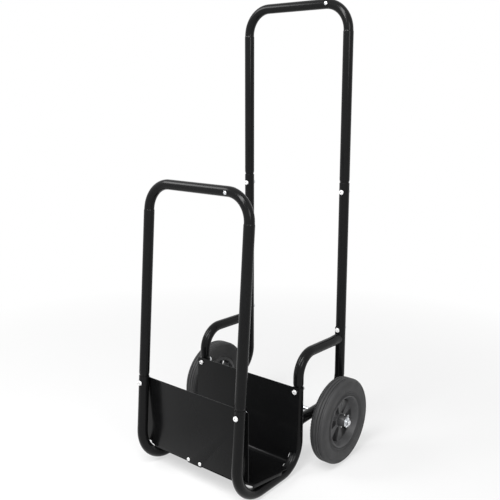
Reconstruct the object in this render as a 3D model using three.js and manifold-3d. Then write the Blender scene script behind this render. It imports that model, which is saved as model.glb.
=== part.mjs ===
// Fireside log cart: a bent-tube frame with a low front handle and a tall rear handle,
// a folded sheet cradle for the logs, and two ribbed wheels on one axle.
// Millimetres, Z up. X runs from left to right, Y from the front handle back to the rear handle.
import * as THREE from 'three';
import { mergeVertices } from 'three/addons/utils/BufferGeometryUtils.js';
import Module from 'manifold-3d';

const wasm = await Module();
wasm.setup();

// ---- clearances and fineness
const GAP = 0.3; // left between pieces that touch
const TUBE_SIDES = 16; // facets round every tube, the same everywhere so that plugs and sockets line up
const BEND_STEPS = 6; // sections along a tube bend
const PLAIN_BORE_SIDES = 8; // facets inside handles and arms, where nothing fits
const ROUND_SIDES = 10; // facets round bolts and their holes
const WHEEL_SIDES = 32; // facets round tyres and rims
const AXLE_SIDES = 16; // facets round the axle and the bores that turn on it

// ---- tubes: one size all through; the upper piece of each joint is necked down to plug into the lower one
const TUBE_R = 11.75;
const WALL = 1.2;
const BORE_R = TUBE_R - WALL;
const NECK_SHARE = (BORE_R - GAP) / TUBE_R; // size of a necked end against the full tube
const PLUG_DEPTH = 30; // how far a necked end goes down its socket
const SHOULDER = 8; // length over which the tube tapers to its neck
const BOW_SHARE = 0.94; // the bent top of each handle is drawn slightly thinner than its legs
const BOW_STEP = 3; // length over which leg turns into bow
const TRACK = 282; // distance between the centre lines of the left and right tubes

// ---- side frame: leaning front socket, bottom run on the floor, upright riser
const FRONT_LEAN = THREE.MathUtils.degToRad(4.5);
const FRONT_BEND_R = 75;
const RISER_BEND_R = 62;
const RISER_Y = 222;
const FRONT_SOCKET_TOP = 220;
const RISER_TOP = 200;
const RUN_Z = TUBE_R; // the run rests on the floor

// ---- handles
const FRONT_BAR_Z = 656;
const FRONT_BOW_R = 58;
const REAR_BAR_Z = 1044;
const REAR_BOW_R = 60;

// ---- rear posts and arms
const POST_Y = 397;
const POST_BEND_R = 62;
const POST_SOCKET_TOP = 643;
const ARM_CORNER_Z = 272.6;
const ARM_BEND_R = 50;
const ARM_DROP = THREE.MathUtils.degToRad(2); // the arm falls slightly towards the post
const FLARE_LENGTH = 34; // tube ends are pressed taller and narrower over this length
const ARM_FLARE = 1.2;
const STRUT_FLARE = 1.12;
const TONGUE_THICK = 2.5; // tongue turned up from the arm's end, bolted to the front of the post
const TONGUE_HALF_WIDTH = 8.5;
const TONGUE_RISE = 33;
const COPE_START = 4; // tubes that meet another side on run to this distance before its centre, then are coped

// ---- wheels and axle
const WHEEL_R = 100;
const WHEEL_X = 192;
const AXLE_Y = 316.7;
const AXLE_R = 6;
const AXLE_BORE_R = AXLE_R + GAP + 0.05;
const TYRE_WIDTH = 38;
const TYRE_SEAT_R = 62;
const GROOVE_DEPTH = 2.2;
const GROOVE_WIDTH = 2.4;
const GROOVE_PITCH = 7.2;
const GROOVES = 3;
const RIM_R = TYRE_SEAT_R - GAP;
const RIM_INNER_R = 55;
const RIM_WIDTH = 32;
const WEB_THICK = 5;
const WEB_INSET = 1; // the web stands inboard of the wheel's middle, so the outer face is deeply dished
const HUB_R = 16;
const HUB_WIDTH = 38;
const WINDOWS = 6;
const WINDOW_INNER_R = 21;
const WINDOW_OUTER_R = 51;
const WINDOW_HALF_ANGLE = THREE.MathUtils.degToRad(15);
const WINDOW_TAPER = 0.85; // the windows' inner ends are this share of the wedge's full angle
const WASHER_R = 11.5;
const WASHER_THICK = 2;
const COLLAR_R = 9;
const COLLAR_THICK = 4;
const PIN_R = 1.6;
const PIN_HOLE_R = PIN_R + GAP;
const PIN_LENGTH = 24;
const PIN_EYE_R = 4;
const AXLE_END_BEYOND_PIN = 5;

// ---- cradle sheets
const SHEET = 1.5;
const SHEET_PAST_POST = 0; // how far the sheets reach past the outside of the tubes
const FRONT_PANEL_TOP = 213;
const FRONT_PANEL_BOTTOM = 49;
const CORNER_CUT_HEIGHT = 8; // lower corners are cut to clear the tube bend
const LUG_HALF_WIDTH = 21; // lug at the middle of the front panel's lower edge
const LUG_DROP = 5.5;
const FLOOR_FRONT_Z = 46.5;
const FLOOR_FALL = 0.142; // fall of the floor for each unit towards the rear
const BACK_TOP = 203;
const BACK_LEAN = THREE.MathUtils.degToRad(2.5);
const FOLD_R = 7;
const FOLD_STEPS = 6;
const LIP = 6; // lips turned down along the floor's sides
const FLANGE_TOP = 62; // middle flange of the floor, standing behind the front panel
const BEND_CLEARANCE = 1.5; // kept between the sheets and the tube bends beside them
const FRONT_CORNER = 12; // reach of the cut at each front corner of the floor
const REAR_CORNER = 13; // length of the slanted cut at each rear corner of the floor
const BACK_CORNER = 20; // height of the slanted cut at each lower corner of the back panel
const BACK_CORNER_DROP = 17; // how far that cut starts below the end of the riser bend

// ---- fasteners
const BOLT_R = 3;
const BOLT_HOLE_R = BOLT_R + GAP;
const BOLT_HEAD_R = 5.6;
const BOLT_HEAD_HEIGHT = 3.6;
const NUT_FLATS = 10;
const NUT_THICK = 5;
const BOLT_PAST_NUT = 1.5;
const SCREW_R = 2.5;
const SCREW_HOLE_R = SCREW_R + GAP;
const SCREW_HEAD_R = 4.2;
const SCREW_HEAD_HEIGHT = 2.6;
const SCREW_NUT_FLATS = 8;
const SCREW_NUT_THICK = 4;
const FRONT_BOLT_Z = 206;
const BACK_BOLT_Z = 192;
const HANDLE_BOLT_Z = 622;
const LUG_SCREW_X = 17;
const LUG_SCREW_Z = 52;
const BAR_SCREW_X = 85;
const BAR_SCREW_LENGTH = 9;
const BAR_SCREW_TILT = Math.PI / TUBE_SIDES; // the head sits square on the first facet above the front

// ---- sizes that follow from the ones above
const CRADLE_HALF_WIDTH = TRACK / 2 + TUBE_R + SHEET_PAST_POST;
const WAIST_HALF_WIDTH = TRACK / 2 - TUBE_R - BEND_CLEARANCE; // width left between the tube bends
const POST_RUN_Z = WHEEL_R + AXLE_R + GAP + TUBE_R; // the axle runs under both posts
const leanY = (z) => Math.tan(FRONT_LEAN) * z;
const FRONT_PANEL_Y = leanY(FRONT_PANEL_TOP) + TUBE_R / Math.cos(FRONT_LEAN) + GAP;
const FLOOR_FRONT_Y = FRONT_PANEL_Y + SHEET + GAP;
const BACK_FACE_Y = RISER_Y - TUBE_R - GAP; // rear face of the back panel at its top edge
const armZ = (y) => ARM_CORNER_Z - Math.tan(ARM_DROP) * (y - RISER_Y);
const ARM_END_Z = armZ(POST_Y);
const ARM_BOLT_Z = ARM_END_Z + TONGUE_RISE - 2 * BOLT_R - 4;
const HUB_OUTER_X = WHEEL_X + HUB_WIDTH / 2;
const PIN_X = HUB_OUTER_X + GAP + WASHER_THICK + GAP + PIN_R;
const AXLE_HALF_LENGTH = PIN_X + AXLE_END_BEYOND_PIN;
const FRONT_BEND_HALF_ANGLE = (Math.PI / 2 - FRONT_LEAN) / 2;
const FRONT_BEND_Y = leanY(RUN_Z) + FRONT_BEND_R / Math.tan(FRONT_BEND_HALF_ANGLE);
const FOREMOST_Y = FRONT_BEND_Y - FRONT_BEND_R - TUBE_R;
const REARMOST_Y = AXLE_Y + WHEEL_R;

// ---- finishes
const COAT = finish('black coat', 0x202123, 0.42, 0.15);
const ZINC = finish('bright zinc', 0xc9cdd1, 0.3, 1);
const RUBBER = finish('tyre rubber', 0x47484a, 0.8, 0);
const PLASTIC = finish('wheel plastic', 0x2b2c2e, 0.5, 0);

function finish(name, color, roughness, metalness) {
  return new THREE.MeshStandardMaterial({ name, color, roughness, metalness });
}

// ---- solids: closed meshes in, closed meshes out

function signedVolume(position, index) {
  const [a, b, c] = [0, 1, 2].map(() => new THREE.Vector3());
  let total = 0;
  for (let i = 0; i < index.length; i += 3) {
    a.fromBufferAttribute(position, index[i]);
    b.fromBufferAttribute(position, index[i + 1]);
    c.fromBufferAttribute(position, index[i + 2]);
    total += a.dot(b.cross(c));
  }
  return total;
}

function solid(source) {
  const bare = source.clone();
  bare.deleteAttribute('normal');
  bare.deleteAttribute('uv');
  const welded = mergeVertices(bare, 1e-4);
  const index = Array.from(welded.index.array);
  if (signedVolume(welded.attributes.position, index) < 0) index.reverse();
  const mesh = new wasm.Mesh({
    numProp: 3,
    vertProperties: new Float32Array(welded.attributes.position.array),
    triVerts: new Uint32Array(index),
  });
  return new wasm.Manifold(mesh);
}

function geometry(body) {
  const mesh = body.getMesh();
  const made = new THREE.BufferGeometry();
  made.setAttribute('position', new THREE.BufferAttribute(new Float32Array(mesh.vertProperties), 3));
  made.setIndex(Array.from(mesh.triVerts));
  made.computeVertexNormals();
  return made;
}

function cut(body, tools) {
  return tools.reduce((left, tool) => left.subtract(tool), body);
}

function join(bodies) {
  return bodies.reduce((whole, next) => whole.add(next));
}

// ---- flat outlines

function ring(radius, sides, turn = 0) {
  return Array.from({ length: sides }, (_, i) => {
    const angle = turn + (2 * Math.PI * i) / sides;
    return new THREE.Vector2(radius * Math.cos(angle), radius * Math.sin(angle));
  });
}

function outline(points, holes = []) {
  const shape = new THREE.Shape(points);
  holes.forEach((hole) => shape.holes.push(new THREE.Path(hole)));
  return shape;
}

function plate(shape, thickness) {
  return new THREE.ExtrudeGeometry(shape, { depth: thickness, bevelEnabled: false, steps: 1 });
}

// A plate whose outline is drawn in X and Z, from the plane y to y + thickness.
function uprightPlate(points, y, thickness) {
  const made = plate(outline(points), thickness);
  made.rotateX(Math.PI / 2);
  made.translate(0, y + thickness, 0);
  return solid(made);
}

// A plate whose outline is drawn in Y and Z, centred on the plane x.
function sidePlate(points, x, thickness) {
  const made = plate(outline(points), thickness);
  made.applyMatrix4(new THREE.Matrix4().set(0, 0, 1, x - thickness / 2, 1, 0, 0, 0, 0, 1, 0, 0, 0, 0, 0, 1));
  return solid(made);
}

// A prism whose outline is drawn in X and Y, from the height z to z + height.
function column(points, z, height) {
  const made = plate(outline(points), height);
  made.translate(0, 0, z);
  return solid(made);
}

const v2 = (a, b) => new THREE.Vector2(a, b);

// ---- round bodies

// A rod along Y through (x, z).
function rodY(radius, x, yFrom, yTo, z, sides = ROUND_SIDES) {
  const made = new THREE.CylinderGeometry(radius, radius, yTo - yFrom, sides);
  made.translate(x, (yFrom + yTo) / 2, z);
  return solid(made);
}

// A rod along Z through (x, y).
function rodZ(radius, x, y, zFrom, zTo, sides = TUBE_SIDES) {
  const made = new THREE.CylinderGeometry(radius, radius, zTo - zFrom, sides);
  made.rotateX(Math.PI / 2);
  made.rotateZ(Math.PI / 2);
  made.translate(x, y, (zFrom + zTo) / 2);
  return solid(made);
}

// A body turned about the X axis from [x, radius] pairs.
function turned(profile, sides, closed) {
  const points = profile.map(([x, radius]) => v2(radius, x));
  if (closed) points.push(points[0].clone());
  const made = new THREE.LatheGeometry(points, sides);
  made.rotateZ(-Math.PI / 2);
  return solid(made);
}

// ---- tubes

// A centre line given section by section: straight parts need no sections between their ends.
class CentreLine extends THREE.Curve {
  constructor(sections) {
    super();
    this.sections = sections;
  }

  getPointAt(u, target = new THREE.Vector3()) {
    const i = Math.round(u * (this.sections.length - 1));
    return target.copy(this.sections[i].point);
  }

  getTangentAt(u, target = new THREE.Vector3()) {
    const i = Math.round(u * (this.sections.length - 1));
    return target.copy(this.sections[i].along);
  }
}

// Rounds every inner corner of a line of points with its own bend radius.
// Each section also says how large the tube is there: across its plane of bending and within it.
function bentLine(corners, radii) {
  const sections = [];
  const add = (point, along) => sections.push({ point, along, across: 1, within: 1 });
  add(corners[0], corners[1].clone().sub(corners[0]).normalize());
  for (let i = 1; i < corners.length - 1; i += 1) {
    const radius = radii[i - 1];
    const into = corners[i].clone().sub(corners[i - 1]).normalize();
    const out = corners[i + 1].clone().sub(corners[i]).normalize();
    const sweep = into.angleTo(out);
    const start = corners[i].clone().addScaledVector(into, -radius * Math.tan(sweep / 2));
    const inward = out.clone().addScaledVector(into, -into.dot(out)).normalize();
    for (let step = 0; step <= BEND_STEPS; step += 1) {
      const angle = (sweep * step) / BEND_STEPS;
      const point = start.clone();
      point.addScaledVector(into, radius * Math.sin(angle));
      point.addScaledVector(inward, radius * (1 - Math.cos(angle)));
      const along = into.clone().multiplyScalar(Math.cos(angle));
      add(point, along.addScaledVector(inward, Math.sin(angle)));
    }
  }
  const last = corners[corners.length - 1];
  add(last, last.clone().sub(corners[corners.length - 2]).normalize());
  return new CentreLine(sections);
}

// A further section on the straight part at the line's start or end, at a distance from that end.
function addSection(line, atStart, distance, across, within = across) {
  const { sections } = line;
  const end = atStart ? sections[0] : sections[sections.length - 1];
  const point = end.point.clone().addScaledVector(end.along, atStart ? distance : -distance);
  const place = atStart ? 1 : sections.length - 1;
  sections.splice(place, 0, { point, along: end.along, across, within });
}

function sizeEnd(line, atStart, across, within = across) {
  const end = line.sections[atStart ? 0 : line.sections.length - 1];
  end.across = across;
  end.within = within;
}

// Necks the end down to go inside another tube, for the depth of the plug.
function neck(line, atStart) {
  addSection(line, atStart, PLUG_DEPTH + SHOULDER, 1);
  addSection(line, atStart, PLUG_DEPTH, NECK_SHARE);
  sizeEnd(line, atStart, NECK_SHARE);
}

// Presses the end taller and narrower.
function press(line, growth) {
  const middle = (1 + growth) / 2;
  addSection(line, false, FLARE_LENGTH, 1);
  addSection(line, false, FLARE_LENGTH / 2, 1 / middle, middle);
  sizeEnd(line, false, 1 / growth, growth);
}

// A tube along the line, bent in the plane square to planeNormal.
function tube(line, planeNormal, boreSides = TUBE_SIDES) {
  const made = new THREE.ExtrudeGeometry(outline(ring(TUBE_R, TUBE_SIDES), [ring(BORE_R, boreSides)]), {
    steps: line.sections.length - 1,
    bevelEnabled: false,
    extrudePath: line,
  });
  const { position } = made.attributes;
  const point = new THREE.Vector3();
  const offset = new THREE.Vector3();
  for (let i = 0; i < position.count; i += 1) {
    point.fromBufferAttribute(position, i);
    const section = sectionThrough(line, point);
    offset.subVectors(point, section.point);
    const sideways = offset.dot(planeNormal);
    point.copy(section.point).addScaledVector(offset, section.within);
    point.addScaledVector(planeNormal, sideways * (section.across - section.within));
    position.setXYZ(i, point.x, point.y, point.z);
  }
  return made;
}

// The section of the line whose plane holds the point, nearest to it.
function sectionThrough(line, point) {
  const near = line.sections.filter((section) => section.point.distanceTo(point) < TUBE_R + 0.1);
  const off = (section) => Math.abs(point.clone().sub(section.point).dot(section.along));
  return near.reduce((best, section) => (off(section) < off(best) ? section : best));
}

const inSide = (y, z) => new THREE.Vector3(0, y, z);

// ---- frame pieces, drawn in the plane of their own side

const ACROSS_SIDE = new THREE.Vector3(1, 0, 0);
const ACROSS_HANDLE = new THREE.Vector3(0, 1, 0);

function sideFrame() {
  const line = bentLine(
    [
      inSide(leanY(FRONT_SOCKET_TOP), FRONT_SOCKET_TOP),
      inSide(leanY(RUN_Z), RUN_Z),
      inSide(RISER_Y, RUN_Z),
      inSide(RISER_Y, RISER_TOP),
    ],
    [FRONT_BEND_R, RISER_BEND_R],
  );
  return cut(solid(tube(line, ACROSS_SIDE)), [
    rodY(BOLT_HOLE_R, 0, -2 * TUBE_R, leanY(FRONT_BOLT_Z) + 2 * TUBE_R, FRONT_BOLT_Z),
    rodY(BOLT_HOLE_R, 0, RISER_Y - 2 * TUBE_R, RISER_Y + 2 * TUBE_R, BACK_BOLT_Z),
  ]);
}

function rearPost() {
  const corners = [
    inSide(POST_Y, POST_SOCKET_TOP),
    inSide(POST_Y, POST_RUN_Z),
    inSide(RISER_Y + COPE_START, POST_RUN_Z),
  ];
  const line = bentLine(corners, [POST_BEND_R]);
  press(line, STRUT_FLARE);
  const riser = rodZ(TUBE_R + GAP, 0, RISER_Y, POST_RUN_Z - 2 * TUBE_R, POST_RUN_Z + 2 * TUBE_R);
  return cut(solid(tube(line, ACROSS_SIDE)), [
    riser,
    rodY(BOLT_HOLE_R, 0, POST_Y - 2 * TUBE_R, POST_Y + 2 * TUBE_R, HANDLE_BOLT_Z),
    rodY(BOLT_HOLE_R, 0, POST_Y - 2 * TUBE_R, POST_Y + 2 * TUBE_R, ARM_BOLT_Z),
  ]);
}

function rearArm() {
  const armEndY = POST_Y - COPE_START;
  const corners = [
    inSide(RISER_Y, RISER_TOP - PLUG_DEPTH),
    inSide(RISER_Y, ARM_CORNER_Z),
    inSide(armEndY, armZ(armEndY)),
  ];
  const line = bentLine(corners, [ARM_BEND_R]);
  neck(line, true);
  press(line, ARM_FLARE);
  const postR = TUBE_R + GAP;
  const sleeve = rodZ(postR + TONGUE_THICK, 0, POST_Y, ARM_END_Z, ARM_END_Z + TONGUE_RISE);
  const strip = column(
    [
      v2(-TONGUE_HALF_WIDTH, POST_Y - 2 * TUBE_R),
      v2(TONGUE_HALF_WIDTH, POST_Y - 2 * TUBE_R),
      v2(TONGUE_HALF_WIDTH, POST_Y - COPE_START),
      v2(-TONGUE_HALF_WIDTH, POST_Y - COPE_START),
    ],
    ARM_END_Z,
    TONGUE_RISE,
  );
  const post = rodZ(postR, 0, POST_Y, ARM_END_Z - 2 * TUBE_R, ARM_END_Z + 3 * TUBE_R);
  const bore = rodY(BORE_R / ARM_FLARE - WALL, 0, armEndY - FLARE_LENGTH, POST_Y, ARM_END_Z);
  const arm = solid(tube(line, ACROSS_SIDE, PLAIN_BORE_SIDES));
  return cut(join([arm, sleeve.intersect(strip)]), [
    post,
    bore,
    rodY(BOLT_HOLE_R, 0, POST_Y - 2 * TUBE_R, POST_Y, ARM_BOLT_Z),
    rodY(BOLT_HOLE_R, 0, RISER_Y - 2 * TUBE_R, RISER_Y + 2 * TUBE_R, BACK_BOLT_Z),
  ]);
}

// A handle in its own upright plane: two straight legs, each necked at its foot, and a thinner bow.
// seamZ and barZ are measured along the legs.
function handle(seamZ, barZ, bowR, cuts) {
  const half = TRACK / 2;
  const foot = seamZ - PLUG_DEPTH;
  const line = bentLine(
    [
      new THREE.Vector3(-half, 0, foot),
      new THREE.Vector3(-half, 0, barZ),
      new THREE.Vector3(half, 0, barZ),
      new THREE.Vector3(half, 0, foot),
    ],
    [bowR, bowR],
  );
  line.sections.slice(1, -1).forEach((section) => {
    section.across = BOW_SHARE;
    section.within = BOW_SHARE;
  });
  [true, false].forEach((atStart) => {
    addSection(line, atStart, barZ - bowR - BOW_STEP - foot, 1);
    neck(line, atStart);
  });
  return cut(solid(tube(line, ACROSS_HANDLE, PLAIN_BORE_SIDES)), cuts);
}

function screwHoleInBar(barZ) {
  const hole = new THREE.CylinderGeometry(SCREW_HOLE_R, SCREW_HOLE_R, 2 * TUBE_R, ROUND_SIDES);
  hole.translate(BAR_SCREW_X, -TUBE_R, 0);
  hole.rotateX(-BAR_SCREW_TILT);
  hole.translate(0, 0, barZ);
  return solid(hole);
}

function frontHandle() {
  const alongLeg = 1 / Math.cos(FRONT_LEAN);
  const boltCentre = FRONT_BOLT_Z * alongLeg;
  const holes = [-1, 1].map((side) => {
    const hole = new THREE.CylinderGeometry(BOLT_HOLE_R, BOLT_HOLE_R, 4 * TUBE_R, ROUND_SIDES);
    hole.rotateX(FRONT_LEAN);
    hole.translate((side * TRACK) / 2, 0, boltCentre);
    return solid(hole);
  });
  const barZ = FRONT_BAR_Z * alongLeg;
  return handle(FRONT_SOCKET_TOP * alongLeg, barZ, FRONT_BOW_R, [...holes, screwHoleInBar(barZ)]);
}

function rearHandle() {
  const holes = [-1, 1].map((side) =>
    rodY(BOLT_HOLE_R, (side * TRACK) / 2, -2 * TUBE_R, 2 * TUBE_R, HANDLE_BOLT_Z),
  );
  return handle(POST_SOCKET_TOP, REAR_BAR_Z, REAR_BOW_R, [...holes, screwHoleInBar(REAR_BAR_Z)]);
}

// ---- cradle sheets

function frontPanel() {
  const half = CRADLE_HALF_WIDTH;
  const waist = WAIST_HALF_WIDTH;
  const cornerZ = FRONT_PANEL_BOTTOM + CORNER_CUT_HEIGHT;
  const right = [
    v2(LUG_HALF_WIDTH, FRONT_PANEL_BOTTOM - LUG_DROP),
    v2(LUG_HALF_WIDTH, FRONT_PANEL_BOTTOM),
    v2(waist, FRONT_PANEL_BOTTOM),
    v2(waist + CORNER_CUT_HEIGHT, cornerZ),
    v2(half, cornerZ),
    v2(half, FRONT_PANEL_TOP),
  ];
  const left = right.map((p) => v2(-p.x, p.y)).reverse();
  const body = uprightPlate([...right, ...left], FRONT_PANEL_Y, SHEET);
  const holes = [-1, 1].flatMap((side) => [
    rodY(BOLT_HOLE_R, (side * TRACK) / 2, FRONT_PANEL_Y - 5, FRONT_PANEL_Y + 5, FRONT_BOLT_Z),
    rodY(SCREW_HOLE_R, side * LUG_SCREW_X, FRONT_PANEL_Y - 5, FRONT_PANEL_Y + 5, LUG_SCREW_Z),
  ]);
  return cut(body, holes);
}

// The floor falls towards the rear and folds up into the back panel.
const backY = (z) => BACK_FACE_Y - SHEET - Math.tan(BACK_LEAN) * (BACK_TOP - z);
const floorZ = (y) => FLOOR_FRONT_Z - FLOOR_FALL * (y - FLOOR_FRONT_Y);

function foldProfile() {
  const fall = Math.atan(FLOOR_FALL);
  const sweep = Math.PI / 2 + fall - BACK_LEAN;
  // where the two inner faces would meet
  const lean = Math.tan(BACK_LEAN);
  const meetZ =
    (FLOOR_FRONT_Z - FLOOR_FALL * (BACK_FACE_Y - SHEET - lean * BACK_TOP - FLOOR_FRONT_Y)) / (1 + FLOOR_FALL * lean);
  const meetY = backY(meetZ);
  const reach = FOLD_R * Math.tan(sweep / 2);
  const startY = meetY - reach * Math.cos(fall);
  const startZ = meetZ + reach * Math.sin(fall);
  const centreY = startY + FOLD_R * Math.sin(fall);
  const centreZ = startZ + FOLD_R * Math.cos(fall);
  const arc = (radius) =>
    Array.from({ length: FOLD_STEPS + 1 }, (_, i) => {
      const angle = -fall + (sweep * i) / FOLD_STEPS;
      return v2(centreY + radius * Math.sin(angle), centreZ - radius * Math.cos(angle));
    });
  const inner = arc(FOLD_R);
  const outer = arc(FOLD_R + SHEET);
  const top = v2(BACK_FACE_Y - SHEET, BACK_TOP);
  const topBehind = v2(BACK_FACE_Y, BACK_TOP);
  const front = v2(FLOOR_FRONT_Y, FLOOR_FRONT_Z);
  const frontUnder = v2(FLOOR_FRONT_Y, FLOOR_FRONT_Z - SHEET * Math.hypot(1, FLOOR_FALL));
  return [front, ...inner, top, topBehind, ...outer.reverse(), frontUnder];
}

function floorLip(side) {
  const from = FLOOR_FRONT_Y + FRONT_CORNER + GAP;
  const to = RISER_Y - RISER_BEND_R - REAR_CORNER;
  const drop = LIP + SHEET;
  return sidePlate(
    [v2(from, floorZ(from)), v2(to, floorZ(to)), v2(to - LIP / 2, floorZ(to) - drop), v2(from + LIP / 2, floorZ(from) - drop)],
    side * (CRADLE_HALF_WIDTH - SHEET / 2),
    SHEET,
  );
}

// Cuts that take the sheet's corners back from the tube bends, on one side.
function cornerCuts(side) {
  const edge = side * (CRADLE_HALF_WIDTH + 1);
  const out = side * (CRADLE_HALF_WIDTH + 10);
  const waist = side * WAIST_HALF_WIDTH;
  const bendStart = RISER_Y - RISER_BEND_R;
  const bendTop = RUN_Z + RISER_BEND_R;
  const low = bendTop - BACK_CORNER_DROP;
  const behind = RISER_Y;
  const before = FLOOR_FRONT_Y - 5;
  const floorFront = FLOOR_FRONT_Y + FRONT_CORNER;
  const frontCorner = [
    v2(waist, before),
    v2(waist, FLOOR_FRONT_Y),
    v2(waist + (side * FRONT_CORNER) / 2, FLOOR_FRONT_Y + (FRONT_CORNER * 3) / 5),
    v2(edge, floorFront),
    v2(out, floorFront),
    v2(out, before),
  ];
  const rearCorner = [
    v2(edge, bendStart - REAR_CORNER),
    v2(waist, bendStart),
    v2(waist, behind),
    v2(out, behind),
    v2(out, bendStart - REAR_CORNER),
  ];
  const backCorner = [
    v2(waist, low - LIP),
    v2(waist, low),
    v2(edge, low + BACK_CORNER),
    v2(out, low + BACK_CORNER),
    v2(out, low - LIP),
  ];
  return [
    column(frontCorner, 0, FLANGE_TOP),
    column(rearCorner, 0, low),
    uprightPlate(backCorner, bendStart, RISER_BEND_R),
  ];
}

function floorAndBack() {
  const sheet = sidePlate(foldProfile(), 0, 2 * CRADLE_HALF_WIDTH);
  const flangeFoot = FLOOR_FRONT_Z - SHEET;
  const flange = uprightPlate(
    [
      v2(-LUG_HALF_WIDTH, flangeFoot),
      v2(LUG_HALF_WIDTH, flangeFoot),
      v2(LUG_HALF_WIDTH, FLANGE_TOP),
      v2(-LUG_HALF_WIDTH, FLANGE_TOP),
    ],
    FLOOR_FRONT_Y,
    SHEET,
  );
  const holes = [-1, 1].flatMap((side) => [
    rodY(BOLT_HOLE_R, (side * TRACK) / 2, BACK_FACE_Y - 10, BACK_FACE_Y + 5, BACK_BOLT_Z),
    rodY(SCREW_HOLE_R, side * LUG_SCREW_X, FLOOR_FRONT_Y - 5, FLOOR_FRONT_Y + 5, LUG_SCREW_Z),
  ]);
  return cut(join([sheet, flange, floorLip(-1), floorLip(1)]), [...cornerCuts(-1), ...cornerCuts(1), ...holes]);
}

// ---- wheels, drawn with the axle along X and the outer face towards +X

function tyre() {
  const half = TYRE_WIDTH / 2;
  const tread = [];
  for (let i = 0; i < GROOVES; i += 1) {
    const x = GROOVE_PITCH * (i - (GROOVES - 1) / 2);
    tread.push(
      [x - GROOVE_WIDTH / 2, WHEEL_R],
      [x, WHEEL_R - GROOVE_DEPTH],
      [x + GROOVE_WIDTH / 2, WHEEL_R],
    );
  }
  const side = [
    [half - 7, WHEEL_R - 0.6],
    [half - 2.6, WHEEL_R - 4],
    [half, WHEEL_R - 12],
    [half - 0.6, WHEEL_R - 24],
    [half - 3, TYRE_SEAT_R],
  ];
  const mirrored = side.map(([x, radius]) => [-x, radius]).reverse();
  return turned([...mirrored, ...tread, ...side], WHEEL_SIDES, true);
}

function rim() {
  const half = RIM_WIDTH / 2;
  const hub = HUB_WIDTH / 2;
  const webIn = -WEB_INSET - WEB_THICK / 2;
  const webOut = -WEB_INSET + WEB_THICK / 2;
  const body = turned(
    [
      [-hub, AXLE_BORE_R],
      [-hub, HUB_R - 2],
      [webIn, HUB_R],
      [webIn, RIM_INNER_R],
      [-half, RIM_INNER_R],
      [-half, RIM_R],
      [half, RIM_R],
      [half, RIM_INNER_R + 2],
      [webOut, RIM_INNER_R],
      [webOut, HUB_R],
      [hub, HUB_R - 3],
      [hub, AXLE_BORE_R],
    ],
    WHEEL_SIDES,
    true,
  );
  const windows = Array.from({ length: WINDOWS }, (_, i) => {
    const middle = (2 * Math.PI * i) / WINDOWS;
    const corner = (radius, angle) => v2(radius * Math.cos(middle + angle), radius * Math.sin(middle + angle));
    const narrow = WINDOW_HALF_ANGLE * WINDOW_TAPER;
    const wedge = [
      corner(WINDOW_INNER_R, -narrow),
      corner(WINDOW_OUTER_R, -WINDOW_HALF_ANGLE),
      corner(WINDOW_OUTER_R * 1.02, 0),
      corner(WINDOW_OUTER_R, WINDOW_HALF_ANGLE),
      corner(WINDOW_INNER_R, narrow),
    ];
    return sidePlate(wedge, -WEB_INSET, 2 * WEB_THICK);
  });
  return cut(body, windows);
}

function axle() {
  const collarFrom = WHEEL_X - HUB_WIDTH / 2 - 2 * GAP - WASHER_THICK - COLLAR_THICK;
  const collarTo = collarFrom + COLLAR_THICK;
  const end = AXLE_HALF_LENGTH;
  const right = [
    [collarFrom, AXLE_R],
    [collarFrom, COLLAR_R],
    [collarTo, COLLAR_R],
    [collarTo, AXLE_R],
    [end - 1, AXLE_R],
    [end, AXLE_R - 1],
    [end, 0],
  ];
  const left = right.map(([x, radius]) => [-x, radius]).reverse();
  const body = turned([...left, ...right], AXLE_SIDES, false);
  return cut(
    body,
    [-1, 1].map((side) => rodZ(PIN_HOLE_R, side * PIN_X, 0, -2 * AXLE_R, 2 * AXLE_R, ROUND_SIDES)),
  );
}

function washer() {
  const half = WASHER_THICK / 2;
  return turned(
    [
      [-half, AXLE_BORE_R],
      [-half, WASHER_R],
      [half, WASHER_R],
      [half, AXLE_BORE_R],
    ],
    AXLE_SIDES,
    true,
  );
}

// Split pin standing upright through the axle: an eye above, one leg below.
function splitPin() {
  const shank = rodZ(PIN_R, 0, 0, -PIN_LENGTH / 2, PIN_LENGTH / 2 - PIN_R, ROUND_SIDES);
  const eye = new THREE.TorusGeometry(PIN_EYE_R - PIN_R / 2, PIN_R * 0.8, 6, 10);
  eye.translate(0, PIN_LENGTH / 2 + PIN_EYE_R - PIN_R, 0);
  eye.rotateX(Math.PI / 2);
  eye.rotateZ(Math.PI / 2);
  return join([shank, solid(eye)]);
}

// ---- fasteners: bolts point along +Y with the underside of the head at y = 0

function bolt(radius, headRadius, headHeight, length) {
  const profile = [
    [-headHeight, 0],
    [-headHeight * 0.8, headRadius * 0.6],
    [-headHeight * 0.35, headRadius],
    [0, headRadius],
    [0, radius],
    [length, radius],
    [length, 0],
  ];
  const made = geometry(turned(profile, ROUND_SIDES, false));
  made.rotateZ(Math.PI / 2);
  return made;
}

function nut(flats, thickness, holeR) {
  const made = plate(outline(ring(flats / Math.sqrt(3), 6, Math.PI / 6), [ring(holeR, ROUND_SIDES)]), thickness);
  made.rotateX(Math.PI / 2);
  made.rotateY(Math.PI / 2);
  made.translate(0, thickness, 0);
  return geometry(solid(made));
}

// ---- assembly

const cart = new THREE.Group();
cart.name = 'fireside_log_cart';
cart.position.y = -(FOREMOST_Y + REARMOST_Y) / 2;

const sides = [
  { word: 'left', sign: -1 },
  { word: 'right', sign: 1 },
];

function place(parent, name, shape, material, position, turn = 0) {
  const mesh = new THREE.Mesh(shape, material);
  mesh.name = name;
  mesh.position.set(...position);
  mesh.rotation.z = turn;
  parent.add(mesh);
  return mesh;
}

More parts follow.
